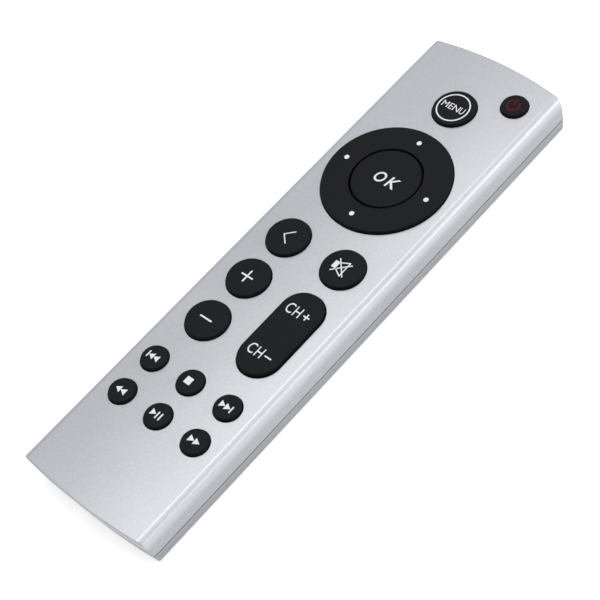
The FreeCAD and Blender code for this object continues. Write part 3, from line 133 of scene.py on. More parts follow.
class Recipe:
    """A node graph that ends in one principled shader and reads object coordinates."""

    def __init__(self, name: str) -> None:
        """Starts an empty graph.

        Args:
            name: The material's name.
        """
        self.material = bpy.data.materials.new(name)
        self.material.use_nodes = True
        self.tree = self.material.node_tree
        self.tree.nodes.clear()
        output = self.tree.nodes.new("ShaderNodeOutputMaterial")
        self.shader = self.tree.nodes.new("ShaderNodeBsdfPrincipled")
        self.tree.links.new(self.shader.outputs["BSDF"], output.inputs["Surface"])
        self.place = self.tree.nodes.new("ShaderNodeTexCoord").outputs["Object"]

    def feed(self, socket: Socket, value: Feed) -> None:
        """Links a socket to another one, or sets its constant.

        Args:
            socket: The input to fill.
            value: An output socket, a number or a colour.
        """
        if isinstance(value, bpy.types.NodeSocket):
            self.tree.links.new(value, socket)
        elif isinstance(value, tuple) and socket.type == "RGBA":
            socket.default_value = (*value, 1.0)
        else:
            socket.default_value = value

    def node(self, kind: str, inputs: dict[str | int, Feed], **settings: object) -> bpy.types.Node:
        """Adds a node.

        Args:
            kind: The node's Blender type.
            inputs: What each input gets, by its name or index.
            **settings: Properties of the node.

        Returns:
            The new node.
        """
        made = self.tree.nodes.new(kind)
        for key, value in settings.items():
            setattr(made, key, value)
        for key, value in inputs.items():
            self.feed(made.inputs[key], value)
        return made

    def noise(self, scale: float, detail: float = 2.0, stretch: Triple | None = None) -> Socket:
        """A soft random pattern.

        Args:
            scale: Features to the metre.
            detail: How much finer detail it carries.
            stretch: A factor on each axis of the coordinates, if not even.

        Returns:
            The pattern, from 0 to 1.
        """
        place = self.place
        if stretch is not None:
            inputs = {"Vector": place, "Scale": Vector(stretch)}
            place = self.node("ShaderNodeMapping", inputs).outputs["Vector"]
        inputs = {"Vector": place, "Scale": scale, "Detail": detail}
        return self.node("ShaderNodeTexNoise", inputs).outputs["Fac"]

    def pattern(self, grain: Grain, stretch: Triple | None = None) -> Socket:
        """The soft pattern of a grain."""
        return self.noise(grain.per_metre, grain.detail, stretch)

    def cells(self, scale: float, edges: bool = False) -> Socket:
        """A pattern of cells.

        Args:
            scale: Cells to the metre.
            edges: Gives the distance to the cells' edges, and not a random grey to each.

        Returns:
            The pattern.
        """
        feature = "DISTANCE_TO_EDGE" if edges else "F1"
        made = self.node("ShaderNodeTexVoronoi", {"Vector": self.place, "Scale": scale}, feature=feature)
        if edges:
            return made.outputs["Distance"]
        return self.node("ShaderNodeRGBToBW", {"Color": made.outputs["Color"]}).outputs["Val"]

    def span(self, value: Socket, source: Point, target: Point) -> Socket:
        """Maps a range onto another one, held at its ends.

        Args:
            value: What is mapped.
            source: The range that it is read over.
            target: The range that it gives.

        Returns:
            The mapped value.
        """
        inputs = {"Value": value, "From Min": source[0], "From Max": source[1],
                  "To Min": target[0], "To Max": target[1]}
        return self.node("ShaderNodeMapRange", inputs).outputs["Result"]

    def sum(self, first: Feed, second: Feed) -> Socket:
        """Adds two values."""
        return self.node("ShaderNodeMath", {0: first, 1: second}, operation="ADD").outputs[0]

    def product(self, first: Feed, second: Feed) -> Socket:
        """Multiplies two values."""
        return self.node("ShaderNodeMath", {0: first, 1: second}, operation="MULTIPLY").outputs[0]

    def mix(self, share: Feed, first: Feed, second: Feed) -> Socket:
        """Mixes two colours.

        Args:
            share: How much of the second one shows.
            first: A colour.
            second: Another colour.

        Returns:
            The mixed colour.
        """
        inputs = {MIX_SHARE: share, MIX_FIRST: first, MIX_SECOND: second}
        return self.node("ShaderNodeMix", inputs, data_type="RGBA").outputs[MIX_RESULT]

    def height(self) -> Socket:
        """The point's height above the floor, in metres."""
        return self.node("ShaderNodeSeparateXYZ", {"Vector": self.place}).outputs["Z"]

    def relief(self, *layers: tuple[Socket, Grain]) -> None:
        """Lays bumps over each other on the surface.

        Args:
            *layers: Each pattern with the grain that gives its depth and strength.
        """
        normal: Socket | None = None
        for pattern, grain in layers:
            inputs = {"Height": pattern, "Distance": grain.depth, "Strength": grain.strength}
            made = self.node("ShaderNodeBump", inputs)
            if normal is not None:
                self.feed(made.inputs["Normal"], normal)
            normal = made.outputs["Normal"]
        self.feed(self.shader.inputs["Normal"], normal)

    def close(self, **sockets: Feed) -> bpy.types.Material:
        """Fills the shader's sockets.

        Args:
            **sockets: Values by socket name, with underscores for spaces.

        Returns:
            The finished material.
        """
        for key, value in sockets.items():
            self.feed(self.shader.inputs[key.replace("_", " ")], value)
        return self.material


@dataclass(frozen=True)
class SatinPaint:
    """Silver paint with fine metal flake, set lighter or darker in a band round the case, which on the upper
    shell is a painted highlight.

    Each share is what a pattern adds to the pale colour's part in the coat. Heights are above the floor,
    and the lip above a given height is painted near-black, a painted shade in the seam between the shells.
    """

    name: str
    pale: Colour
    deep: Colour
    metallic: float
    roughness: Point
    clouds_per_metre: float = 22.0
    cloud_share: Point = (0.1, 0.6)
    flakes_per_metre: float = 4200.0
    flake_share: Point = (-0.13, 0.15)
    grain_per_metre: float = 2400.0
    grain_share: Point = (-0.23, 0.23)
    mottle_per_metre: float = 900.0
    mottle_share: Point = (-0.08, 0.08)
    gloss_per_metre: float = 60.0
    # A band between these heights takes a scaled copy of the pale colour; made lighter on the upper shell,
    # it is a painted highlight.
    band_rise: Point = (7.2 * MM, 9.4 * MM)
    band_fall: Point = (9.3 * MM, 10.3 * MM)
    streak_stretch: Triple = (1.0, 0.3, 1.0)
    streak_range: Point = (0.56, 0.72)
    streak_share: Point = (0.75, 1.0)
    band_factor: float = 1.27
    dull_below: Point = (10.0 * MM, 10.9 * MM)
    dulling: float = 0.15
    # Above this height the lip is painted near-black: painted shade in the seam between the shells.
    seam_shade_above: Point | None = None
    seam_shade: Colour = (0.012, 0.012, 0.013)
    skin: tuple[Grain, ...] = (Grain(5200.0, 0.003 * MM, 0.10), Grain(1300.0, 0.005 * MM, 0.10))

    def pale_share(self, recipe: Recipe) -> Socket:
        """Sums the patterns that vary the coat.

        Args:
            recipe: The paint's graph.

        Returns:
            How much of the pale colour shows.
        """
        clouds = recipe.span(recipe.noise(self.clouds_per_metre, detail=3.0), WIDE, self.cloud_share)
        flakes = recipe.span(recipe.cells(self.flakes_per_metre), (0.1, 0.9), self.flake_share)
        grain = recipe.span(recipe.noise(self.grain_per_metre, detail=3.0), NARROW, self.grain_share)
        mottle = recipe.span(recipe.noise(self.mottle_per_metre, detail=4.0), NARROW, self.mottle_share)
        return recipe.sum(recipe.sum(recipe.sum(clouds, flakes), grain), mottle)

    def tone_band(self, recipe: Recipe, height: Socket) -> Socket:
        """Picks out a band round the case by height, broken into streaks; on the upper shell its lighter
        colour is a painted highlight below the shoulder.

        Args:
            recipe: The paint's graph.
            height: The height above the floor.

        Returns:
            How much of the band's colour shows.
        """
        band = recipe.product(recipe.span(height, self.band_rise, (0.0, 1.0)),
                              recipe.span(height, self.band_fall, (1.0, 0.0)))
        streaks = recipe.noise(self.mottle_per_metre, detail=6.0, stretch=self.streak_stretch)
        return recipe.product(recipe.span(streaks, self.streak_range, self.streak_share), band)

    def make(self) -> bpy.types.Material:
        """Builds the paint's material.

        Returns:
            The material.
        """
        recipe = Recipe(self.name)
        height = recipe.height()
        # The band's colour: lighter on the upper shell, a painted highlight that carries the shoulder's
        # highlight down the side wall; a little darker on the lower shell.
        band_colour = tuple(min(1.0, part * self.band_factor) for part in self.pale)
        coat = recipe.mix(self.pale_share(recipe), self.deep, self.pale)
        coat = recipe.mix(self.tone_band(recipe, height), coat, band_colour)
        # Painted shade: near-black above the lip's height darkens the seam between the shells.
        if self.seam_shade_above:
            coat = recipe.mix(recipe.span(height, self.seam_shade_above, (0.0, 1.0)), coat, self.seam_shade)
        gloss = recipe.sum(recipe.span(recipe.noise(self.gloss_per_metre, detail=1.0), WIDE, self.roughness),
                           recipe.span(height, self.dull_below, (self.dulling, 0.0)))
        recipe.relief(*((recipe.pattern(grain), grain) for grain in self.skin))
        return recipe.close(Base_Color=coat, Metallic=self.metallic, Roughness=gloss)


@dataclass(frozen=True)
class KeyPlastic:
    """Moulded charcoal plastic with a spark-eroded grain, handled smoother in patches."""

    name: str
    pale: Colour
    deep: Colour
    roughness: Point
    specular: float
    patches_per_metre: float = 120.0
    patch_share: Point = (0.15, 0.75)
    grain_share: Point = (-0.15, 0.2)
    grain: Grain = Grain(5200.0, 0.010 * MM, 0.22, 3.0)
    waves: Grain = Grain(1400.0, 0.008 * MM, 0.12)

    def make(self) -> bpy.types.Material:
        """Builds the plastic's material.

        Returns:
            The material.
        """
        recipe = Recipe(self.name)
        grain = recipe.pattern(self.grain)
        patches = recipe.noise(self.patches_per_metre, detail=3.0)
        share = recipe.sum(recipe.span(patches, WIDE, self.patch_share),
                           recipe.span(grain, WIDE, self.grain_share))
        recipe.relief((grain, self.grain), (recipe.pattern(self.waves), self.waves))
        recipe.shader.inputs["Specular IOR Level"].default_value = self.specular
        return recipe.close(Base_Color=recipe.mix(share, self.deep, self.pale),
                            Roughness=recipe.span(patches, WIDE, self.roughness))


@dataclass(frozen=True)
class PrintInk:
    """Pad-printed ink, a little thinner and duller in specks."""

    name: str
    full: Colour
    thin: Colour
    roughness: float = 0.5
    dulling: float = 0.08
    specular: float = 0.5
    specks_per_metre: float = 3800.0
    speck_range: Point = (0.35, 0.62)
    skin: Grain = Grain(6000.0, 0.004 * MM, 0.15)

    def make(self) -> bpy.types.Material:
        """Builds the ink's material.

        Returns:
            The material.
        """
        recipe = Recipe(self.name)
        recipe.shader.inputs["Specular IOR Level"].default_value = self.specular
        cover = recipe.span(recipe.noise(self.specks_per_metre, detail=4.0), self.speck_range, (0.0, 1.0))
        gloss = recipe.span(cover, (0.0, 1.0), (self.roughness + self.dulling, self.roughness))
        recipe.relief((recipe.pattern(self.skin), self.skin))
        return recipe.close(Base_Color=recipe.mix(cover, self.thin, self.full), Roughness=gloss)


@dataclass(frozen=True)
class Moulding:
    """A plain moulded or dipped stuff with a grain of its own."""

    name: str
    pale: Colour
    deep: Colour
    roughness: Point
    grain: Grain
    specular: float = 0.5
    coat: float = 0.0
    clouds_per_metre: float = 160.0
    cloud_share: Point = (0.1, 0.7)
    grain_share: Point = (-0.2, 0.2)

    def make(self) -> bpy.types.Material:
        """Builds the stuff's material.

        Returns:
            The material.
        """
        recipe = Recipe(self.name)
        grain = recipe.pattern(self.grain)
        clouds = recipe.noise(self.clouds_per_metre)
        share = recipe.sum(recipe.span(clouds, WIDE, self.cloud_share),
                           recipe.span(grain, WIDE, self.grain_share))
        recipe.relief((grain, self.grain))
        recipe.shader.inputs["Specular IOR Level"].default_value = self.specular
        recipe.shader.inputs["Coat Weight"].default_value = self.coat
        return recipe.close(Base_Color=recipe.mix(share, self.deep, self.pale),
                            Roughness=recipe.span(clouds, WIDE, self.roughness))


@dataclass(frozen=True)
class PlatedMetal:
    """Plated steel, drawn one way, with handling marks."""

    name: str
    pale: Colour
    deep: Colour
    roughness: Point
    drawn: Triple = (0.08, 1.0, 1.0)
    lines: Grain = Grain(5000.0, 0.004 * MM, 0.25, 4.0)
    line_share: Point = (-0.2, 0.2)
    stains_per_metre: float = 380.0
    stain_share: Point = (0.2, 0.8)
    stain_dulling: float = 0.06

    def make(self) -> bpy.types.Material:
        """Builds the metal's material.

        Returns:
            The material.
        """
        recipe = Recipe(self.name)
        lines = recipe.pattern(self.lines, self.drawn)
        stains = recipe.noise(self.stains_per_metre, detail=4.0)
        share = recipe.sum(recipe.span(stains, NARROW, self.stain_share),
                           recipe.span(lines, WIDE, self.line_share))
        gloss = recipe.sum(recipe.span(lines, WIDE, self.roughness),
                           recipe.span(stains, WIDE, (0.0, self.stain_dulling)))
        recipe.relief((lines, self.lines))
        return recipe.close(Base_Color=recipe.mix(share, self.deep, self.pale), Metallic=1.0,
                            Roughness=gloss)


@dataclass(frozen=True)
class SolderMask:
    """Green mask over copper tracks, whose edges stand up through it."""

    name: str
    laminate: Colour
    track: Colour
    roughness: Point = (0.28, 0.42)
    tracks_per_metre: float = 330.0
    track_edge: Point = (0.05, 0.09)
    track_depth: float = 0.03 * MM
    track_strength: float = 0.5
    weave: Grain = Grain(2400.0, 0.01 * MM, 0.2)
    weave_share: Point = (-0.1, 0.1)

    def make(self) -> bpy.types.Material:
        """Builds the board's material.

        Returns:
            The material.
        """
        recipe = Recipe(self.name)
        track = recipe.span(recipe.cells(self.tracks_per_metre, edges=True), self.track_edge, (1.0, 0.0))
        weave = recipe.pattern(self.weave)
        share = recipe.sum(track, recipe.span(weave, WIDE, self.weave_share))
        ridge = Grain(self.tracks_per_metre, self.track_depth, self.track_strength)
        recipe.relief((track, ridge), (weave, self.weave))
        return recipe.close(Base_Color=recipe.mix(share, self.laminate, self.track),
                            Roughness=recipe.span(weave, WIDE, self.roughness))


@dataclass(frozen=True)
class ClearResin:
    """Cast resin that light passes, faintly tinted and clouded."""

    name: str
    tint: Colour
    shade: Colour
    passing: float
    roughness: Point
    clouds_per_metre: float = 700.0
    skin: Grain = Grain(1500.0, 0.004 * MM, 0.1)

    def make(self) -> bpy.types.Material:
        """Builds the resin's material.

        Returns:
            The material.
        """
        recipe = Recipe(self.name)
        cloud = recipe.noise(self.clouds_per_metre, detail=3.0)
        recipe.relief((recipe.pattern(self.skin), self.skin))
        recipe.shader.inputs["Transmission Weight"].default_value = self.passing
        return recipe.close(Base_Color=recipe.mix(cloud, self.shade, self.tint),
                            Roughness=recipe.span(cloud, WIDE, self.roughness))


Finish = SatinPaint | KeyPlastic | PrintInk | Moulding | PlatedMetal | SolderMask | ClearResin

# The upper shell's band from 7.2 to 10.3 mm is painted 1.27 times lighter, a painted highlight on the side
# wall below the shoulder.
UPPER_PAINT = SatinPaint("upper_case_paint", (0.440, 0.448, 0.478), (0.368, 0.375, 0.402), 0.65,
                         roughness=(0.295, 0.318))
# The lower shell's band from 2.2 to 3.8 mm is made a little darker.
LOWER_PAINT = SatinPaint("lower_case_paint", (0.342, 0.349, 0.370), (0.280, 0.287, 0.308), 0.60,
                         roughness=(0.36, 0.40), band_rise=(2.2 * MM, 3.0 * MM),
                         band_fall=(3.4 * MM, 3.8 * MM), band_factor=0.96, dulling=0.0,
                         # Painted shade: the lip above 3.86 mm is near-black, so the seam between the shells
                         # reads dark.
                         seam_shade_above=(3.86 * MM, 3.90 * MM))
KEY_BLACK = KeyPlastic("key_charcoal", (0.0052, 0.0056, 0.0074), (0.0023, 0.0027, 0.0038),
                       roughness=(0.42, 0.56), specular=0.09)
INKS = {
    Ink.WHITE: PrintInk("white_print", (0.80, 0.80, 0.81), (0.68, 0.69, 0.71)),
    Ink.RED: PrintInk("red_print", (0.096, 0.005, 0.012), (0.073, 0.004, 0.010), specular=0.1),
    Ink.BLACK: PrintInk("black_print", (0.016, 0.016, 0.018), (0.035, 0.035, 0.038)),
}
MAT_RUBBER = Moulding("mat_rubber", (0.09, 0.09, 0.095), (0.055, 0.055, 0.06),
                      roughness=(0.6, 0.75), grain=Grain(2200.0, 0.012 * MM, 0.3, 3.0))
CARBON_RUBBER = Moulding("carbon_rubber", (0.016, 0.016, 0.017), (0.007, 0.007, 0.008),
                         roughness=(0.7, 0.85), grain=Grain(3000.0, 0.01 * MM, 0.3, 3.0), specular=0.3)
CARBON_PRINT = Moulding("carbon_print", (0.045, 0.045, 0.047), (0.022, 0.022, 0.024),
                        roughness=(0.55, 0.7), grain=Grain(4000.0, 0.006 * MM, 0.3, 3.0))
BOARD_MASK = SolderMask("board_mask", (0.022, 0.13, 0.055), (0.05, 0.24, 0.10))
CHIP_EPOXY = Moulding("chip_epoxy", (0.022, 0.022, 0.024), (0.011, 0.011, 0.012),
                      roughness=(0.5, 0.62), grain=Grain(3600.0, 0.01 * MM, 0.3, 3.0))
DIPPED_YELLOW = Moulding("dipped_ceramic", (0.76, 0.45, 0.09), (0.62, 0.33, 0.05),
                         roughness=(0.18, 0.3), grain=Grain(500.0, 0.02 * MM, 0.3, 3.0), coat=0.4)
SLEEVE = Moulding("shrunk_sleeve", (0.03, 0.045, 0.12), (0.018, 0.026, 0.075),
                  roughness=(0.22, 0.34), grain=Grain(900.0, 0.01 * MM, 0.3, 3.0), coat=0.3)
EMITTER_RESIN = ClearResin("emitter_resin", (0.66, 0.70, 0.82), (0.52, 0.56, 0.70), passing=0.75,
                           roughness=(0.06, 0.14))
WINDOW_RESIN = Moulding("smoked_window", (0.018, 0.004, 0.008), (0.008, 0.002, 0.004),
                        roughness=(0.10, 0.18), grain=Grain(800.0, 0.004 * MM, 0.3, 3.0), specular=0.22)
TIN_PLATE = PlatedMetal("tin_plate", (0.80, 0.79, 0.76), (0.62, 0.61, 0.58), roughness=(0.28, 0.4))
CELL_STEEL = PlatedMetal("cell_steel", (0.74, 0.74, 0.73), (0.60, 0.60, 0.60), roughness=(0.22, 0.34))
SCREW_STEEL = PlatedMetal("screw_steel", (0.62, 0.62, 0.63), (0.42, 0.42, 0.44), roughness=(0.26, 0.42),
                          drawn=(1.0, 1.0, 0.1))


def finished(finish: Finish) -> bpy.types.Material:
    """The material of a finish, built the first time that it is asked for.

    Args:
        finish: What the surface is.

    Returns:
        The material.
    """
    return bpy.data.materials.get(finish.name) or finish.make()


def dress(names: Iterable[str], finish: Finish) -> None:
    """Gives the frame's nodes a finish.

    Args:
        names: The nodes.
        finish: What they are made of.
    """
    for name in names:
        for slot in frame["nodes"][name].material_slots:
            slot.material = finished(finish)
        LOG.info("node %s is finished as %s", name, finish.name)


def body_of_node(name: str) -> str:
    """The body that a node of the frame rides on."""
    return body_of(frame["nodes"][name])[0]


def centre_of(name: str) -> Point:
    """The middle of a node seen from above, in millimetres."""
    low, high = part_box(name)
    return ((low.x + high.x) / 2 / MM, (low.y + high.y) / 2 / MM)


def deselect() -> None:
    """Leaves nothing selected, in object mode."""
    if bpy.context.mode != "OBJECT":
        bpy.ops.object.mode_set(mode="OBJECT")
    bpy.ops.object.select_all(action="DESELECT")


def select_faces(piece: bpy.types.Object, wanted: Callable[[bmesh.types.BMFace], bool]) -> int:
    """Selects some faces of the piece that is being edited.

    Args:
        piece: The piece, in edit mode.
        wanted: Says whether a face is one of them.

    Returns:
        How many there are.
    """
    bpy.ops.mesh.select_mode(type="FACE")
    bpy.ops.mesh.select_all(action="DESELECT")
    mesh = bmesh.from_edit_mesh(piece.data)
    found = [face for face in mesh.faces if wanted(face)]
    for face in found:
        face.select_set(True)
    bmesh.update_edit_mesh(piece.data)
    return len(found)


def select_edges(piece: bpy.types.Object, wanted: Callable[[bmesh.types.BMEdge], bool]) -> int:
    """Selects some edges of the piece that is being edited.

    Args:
        piece: The piece, in edit mode.
        wanted: Says whether an edge is one of them.

    Returns:
        How many there are.
    """
    bpy.ops.mesh.select_mode(type="EDGE")
    bpy.ops.mesh.select_all(action="DESELECT")
    mesh = bmesh.from_edit_mesh(piece.data)
    found = [edge for edge in mesh.edges if wanted(edge)]
    for edge in found:
        edge.select_set(True)
    bmesh.update_edit_mesh(piece.data)
    return len(found)


def place_applied(piece: bpy.types.Object) -> bpy.types.Object:
    """Moves a piece's place, turn and scale into its mesh.

    Args:
        piece: What is placed.

    Returns:
        The same piece.
    """
    deselect()
    piece.select_set(True)
    bpy.context.view_layer.objects.active = piece
    bpy.ops.object.transform_apply(location=True, rotation=True, scale=True)
    return piece


def modified(piece: bpy.types.Object, kind: str, **settings: object) -> bpy.types.Object:
    """Adds a modifier and applies it.

    Args:
        piece: What is modified.
        kind: The modifier's type.
        **settings: Its properties.

    Returns:
        The same piece.
    """
    deselect()
    piece.select_set(True)
    bpy.context.view_layer.objects.active = piece
    modifier = piece.modifiers.new(kind.lower(), kind)
    for key, value in settings.items():
        setattr(modifier, key, value)
    bpy.ops.object.modifier_apply(modifier=modifier.name)
    return piece


def joined(pieces: Sequence[bpy.types.Object]) -> bpy.types.Object:
    """Joins pieces.

    Args:
        pieces: What is joined, at least one.

    Returns:
        The first piece, with the others in it.
    """
    deselect()
    for piece in pieces:
        piece.select_set(True)
    bpy.context.view_layer.objects.active = pieces[0]
    if len(pieces) > 1:
        bpy.ops.object.join()
    return pieces[0]


@dataclass(frozen=True)
class Bar:
    """A straight stroke with softened ends, in millimetres from its node's middle."""

    start: Point
    end: Point
    width: float
    softness: float = 0.3
    segments: int = 3

    def draw(self) -> bpy.types.Object:
        """Makes the stroke as a block that stands through the print's plane.

        Returns:
            The block, whose top becomes the stroke.
        """
        run = Vector(self.end) - Vector(self.start)
        middle = (Vector(self.start) + Vector(self.end)) / 2
        deselect()
        turn = math.atan2(run.y, run.x)
        bpy.ops.mesh.primitive_cube_add(size=1, location=(*middle, 0), rotation=(0, 0, turn))
        piece = bpy.context.object
        piece.scale = (run.length, self.width, BLOCK_HEIGHT)
        place_applied(piece)
        bpy.ops.object.mode_set(mode="EDIT")
        select_edges(piece, lambda edge: abs((edge.verts[0].co - edge.verts[1].co).z) > BLOCK_HEIGHT / 2)
        bpy.ops.mesh.bevel(offset=self.width * self.softness, segments=self.segments)
        bpy.ops.object.mode_set(mode="OBJECT")
        return piece


@dataclass(frozen=True)
class Disc:
    """A round dot, with a rim of its own as a share of the radius."""

    centre: Point
    radius: float
    rim: float = 0.3
    corners: int = 32

    def draw(self) -> bpy.types.Object:
        """Makes the dot as a flat face with a ring of faces round it.

        Returns:
            The flat dot.
        """
        deselect()
        bpy.ops.mesh.primitive_circle_add(vertices=self.corners, radius=self.radius, fill_type="NGON",
                                          location=(*self.centre, 0))
        piece = place_applied(bpy.context.object)
        bpy.ops.object.mode_set(mode="EDIT")
        bpy.ops.mesh.select_all(action="SELECT")
        bpy.ops.mesh.inset(thickness=self.radius * self.rim)
        bpy.ops.object.mode_set(mode="OBJECT")
        return piece


@dataclass(frozen=True)
class Hoop:
    """A round line, open towards the far end where opening is given in degrees."""

    centre: Point
    radius: float
    width: float
    opening: float = 0.0
    corners: int = 72

    def draw(self) -> bpy.types.Object:
        """Makes the line as a ring of flat faces.

        Returns:
            The flat ring.
        """
        deselect()
        bpy.ops.mesh.primitive_circle_add(vertices=self.corners, radius=self.radius, fill_type="NGON",
                                          location=(*self.centre, 0))
        piece = place_applied(bpy.context.object)
        bpy.ops.object.mode_set(mode="EDIT")
        bpy.ops.mesh.select_all(action="SELECT")
        bpy.ops.mesh.inset(thickness=self.width)
        bpy.ops.mesh.delete(type="FACE")
        half = math.radians(self.opening) / 2

        def in_opening(face: bmesh.types.BMFace) -> bool:
            """Says whether a face lies in the opening."""
            away = face.calc_center_median().xy - Vector(self.centre)
            return abs(math.atan2(away.x, away.y)) < half

        if self.opening and select_faces(piece, in_opening):
            bpy.ops.mesh.delete(type="FACE")
        bpy.ops.object.mode_set(mode="OBJECT")
        return piece


@dataclass(frozen=True)
class Wedge:
    """A solid triangle that points along the key."""

    tip: Point
    length: float
    height: float
    heading: Heading

    def draw(self) -> bpy.types.Object:
        """Makes the triangle from a three-sided disc, stretched to its size.

        Returns:
            The flat triangle.
        """
        deselect()
        turn = -math.pi / 2 if self.heading is Heading.RIGHT else math.pi / 2
        bpy.ops.mesh.primitive_circle_add(vertices=3, radius=1, fill_type="NGON", rotation=(0, 0, turn))
        piece = place_applied(bpy.context.object)
        corners = [vertex.co for vertex in piece.data.vertices]
        across = max(co.x for co in corners) - min(co.x for co in corners)
        along = max(co.y for co in corners) - min(co.y for co in corners)
        piece.scale = (self.length / across, self.height / along, 1.0)
        place_applied(piece)
        reach = self.heading.value * max(self.heading.value * vertex.co.x for vertex in piece.data.vertices)
        piece.location = (self.tip[0] - reach, self.tip[1], 0)
        return place_applied(piece)


@dataclass(frozen=True)
class Word:
    """A short function word, fitted to a box."""

    text: str
    low: Point
    high: Point
    weight: float = 0.0
    slant: float = 0.0
    curve_steps: int = 5

    def draw(self) -> bpy.types.Object:
        """Makes the word from the built-in type, made a mesh before it is fitted.

        Returns:
            The flat word.
        """
        deselect()
        bpy.ops.object.text_add()
        piece = bpy.context.object
        piece.data.body = self.text
        piece.data.offset = self.weight
        piece.data.shear = self.slant
        piece.data.resolution_u = self.curve_steps
        bpy.ops.object.convert(target="MESH")
        piece = bpy.context.object
        corners = [vertex.co.xy for vertex in piece.data.vertices]
        low = Vector((min(co.x for co in corners), min(co.y for co in corners)))
        high = Vector((max(co.x for co in corners), max(co.y for co in corners)))
        fit = [(self.high[axis] - self.low[axis]) / (high - low)[axis] for axis in (0, 1)]
        piece.scale = (*fit, 1.0)
        piece.location = (self.low[0] - low.x * fit[0], self.low[1] - low.y * fit[1], 0)
        return place_applied(piece)


Mark = Bar | Disc | Hoop | Wedge | Word


@dataclass
class Print:
    """The printed marks of one node, laid on its crown or its underside, with sizes in millimetres."""

    node: str
    marks: tuple[Mark, ...]
    ink: Ink = Ink.WHITE
    label: str = "print"
    side: Side = Side.TOP
    cell: float = 0.5
    proud: float = 0.004
    depth: float = 0.030
    start_height: float = 16.0
    weld: float = 0.002

    def strokes(self) -> list[bpy.types.Object]:
        """Draws the marks, with the crossing strokes melted into one outline.

        Returns:
            Flat pieces that face up.
        """
        bars = [mark.draw() for mark in self.marks if isinstance(mark, Bar)]
        flat = [mark.draw() for mark in self.marks if not isinstance(mark, Bar)]
        if not bars:
            return flat
        whole, *others = bars
        for other in others:
            modified(whole, "BOOLEAN", operation="UNION", solver="EXACT", object=other)
            bpy.data.objects.remove(other)
        deselect()
        whole.select_set(True)
        bpy.context.view_layer.objects.active = whole
        bpy.ops.object.mode_set(mode="EDIT")
        select_faces(whole, lambda face: face.normal.z < LOOKS_UP)
        bpy.ops.mesh.delete(type="FACE")
        bpy.ops.mesh.select_all(action="SELECT")
        bpy.ops.transform.translate(value=(0, 0, -BLOCK_HEIGHT / 2))
        bpy.ops.object.mode_set(mode="OBJECT")
        return [whole, *flat]

    def diced(self, piece: bpy.types.Object) -> None:
        """Cuts the flat marks into small cells, which can follow a crown.

        Args:
            piece: The marks, in millimetres.
        """
        bpy.ops.object.mode_set(mode="EDIT")
        bpy.ops.mesh.select_all(action="SELECT")
        bpy.ops.mesh.remove_doubles(threshold=self.weld)
        bpy.ops.mesh.quads_convert_to_tris()
        for axis, direction in ((0, (1, 0, 0)), (1, (0, 1, 0))):
            places = [vertex.co[axis] for vertex in bmesh.from_edit_mesh(piece.data).verts]
            first, last = math.ceil(min(places) / self.cell), math.floor(max(places) / self.cell)
            for step in range(first, last + 1):
                bpy.ops.mesh.select_all(action="SELECT")
                bpy.ops.mesh.bisect(plane_co=Vector(direction) * step * self.cell, plane_no=direction)
        bpy.ops.mesh.select_all(action="SELECT")
        bpy.ops.mesh.remove_doubles(threshold=self.weld)
        bpy.ops.object.mode_set(mode="OBJECT")

    def lay(self) -> bpy.types.Object:
        """Prints the marks on their node.

        Returns:
            The printed piece, riding with the node.
        """
        piece = joined(self.strokes())
        self.diced(piece)
        middle = centre_of(self.node)
        piece.scale = (MM, MM, MM)
        piece.location = (middle[0] * MM, middle[1] * MM, self.side.value * self.start_height * MM)
        place_applied(piece)
        on_top = self.side is Side.TOP
        if not on_top:
            bpy.ops.object.mode_set(mode="EDIT")
            bpy.ops.mesh.select_all(action="SELECT")
            bpy.ops.mesh.flip_normals()
            bpy.ops.object.mode_set(mode="OBJECT")
        modified(piece, "SHRINKWRAP", wrap_method="PROJECT", target=frame["nodes"][self.node],
                 use_project_z=True, use_negative_direction=on_top, use_positive_direction=not on_top,
                 offset=self.proud * MM)
        modified(piece, "SOLIDIFY", thickness=self.depth * MM, offset=-1.0)
        bpy.ops.object.shade_smooth_by_angle(angle=SMOOTH_BELOW)
        piece.name = f"{self.node}_{self.label}"
        piece.data.materials.clear()
        piece.data.materials.append(finished(INKS[self.ink]))
        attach(piece, body_of_node(self.node))
        LOG.info("piece %s is printed, with %d faces", piece.name, len(piece.data.polygons))
        return piece


@dataclass
class CaseShells:
    """The two painted shells, the battery door with its arrow and the dark window at the far end."""

    arrow_place: float = 5.0
    arrow_half: float = 2.2
    arrow_width: float = 0.6
    barb_share: float = 0.6

    def arrow(self) -> tuple[Mark, ...]:
        """A shaft that points to the near end, with two barbs.

        Returns:
            The arrow's strokes.
        """
        tail = (0.0, self.arrow_place + self.arrow_half)
        tip = (0.0, self.arrow_place - self.arrow_half)
        barb = self.arrow_half * self.barb_share
        starts = (tail, (barb, tip[1] + barb), (-barb, tip[1] + barb))
        return tuple(Bar(start, tip, self.arrow_width) for start in starts)

    def build(self) -> None:
        """Finishes the case and prints the battery door's arrow."""
        dress(["top_shell"], UPPER_PAINT)
        dress(["bottom_shell", "battery_cover"], LOWER_PAINT)
        dress(["ir_window"], WINDOW_RESIN)
        dress(["case_screws", "board_screws"], SCREW_STEEL)
        Print("battery_cover", self.arrow(), Ink.BLACK, "arrow", Side.UNDERSIDE).lay()


def make_keys(signs: dict[str, tuple[Mark, ...]], inks: dict[str, Ink]) -> None:
    """Finishes round keys and their contact pills, and prints the keys.

    Args:
        signs: The marks of each key, by its name.
        inks: The ink of each key that isn't printed white.
    """
    for name, marks in signs.items():
        dress([f"{name}_button"], KEY_BLACK)
        dress([f"{name}_contact_pill"], CARBON_RUBBER)
        Print(f"{name}_button", marks, inks.get(name, Ink.WHITE)).lay()


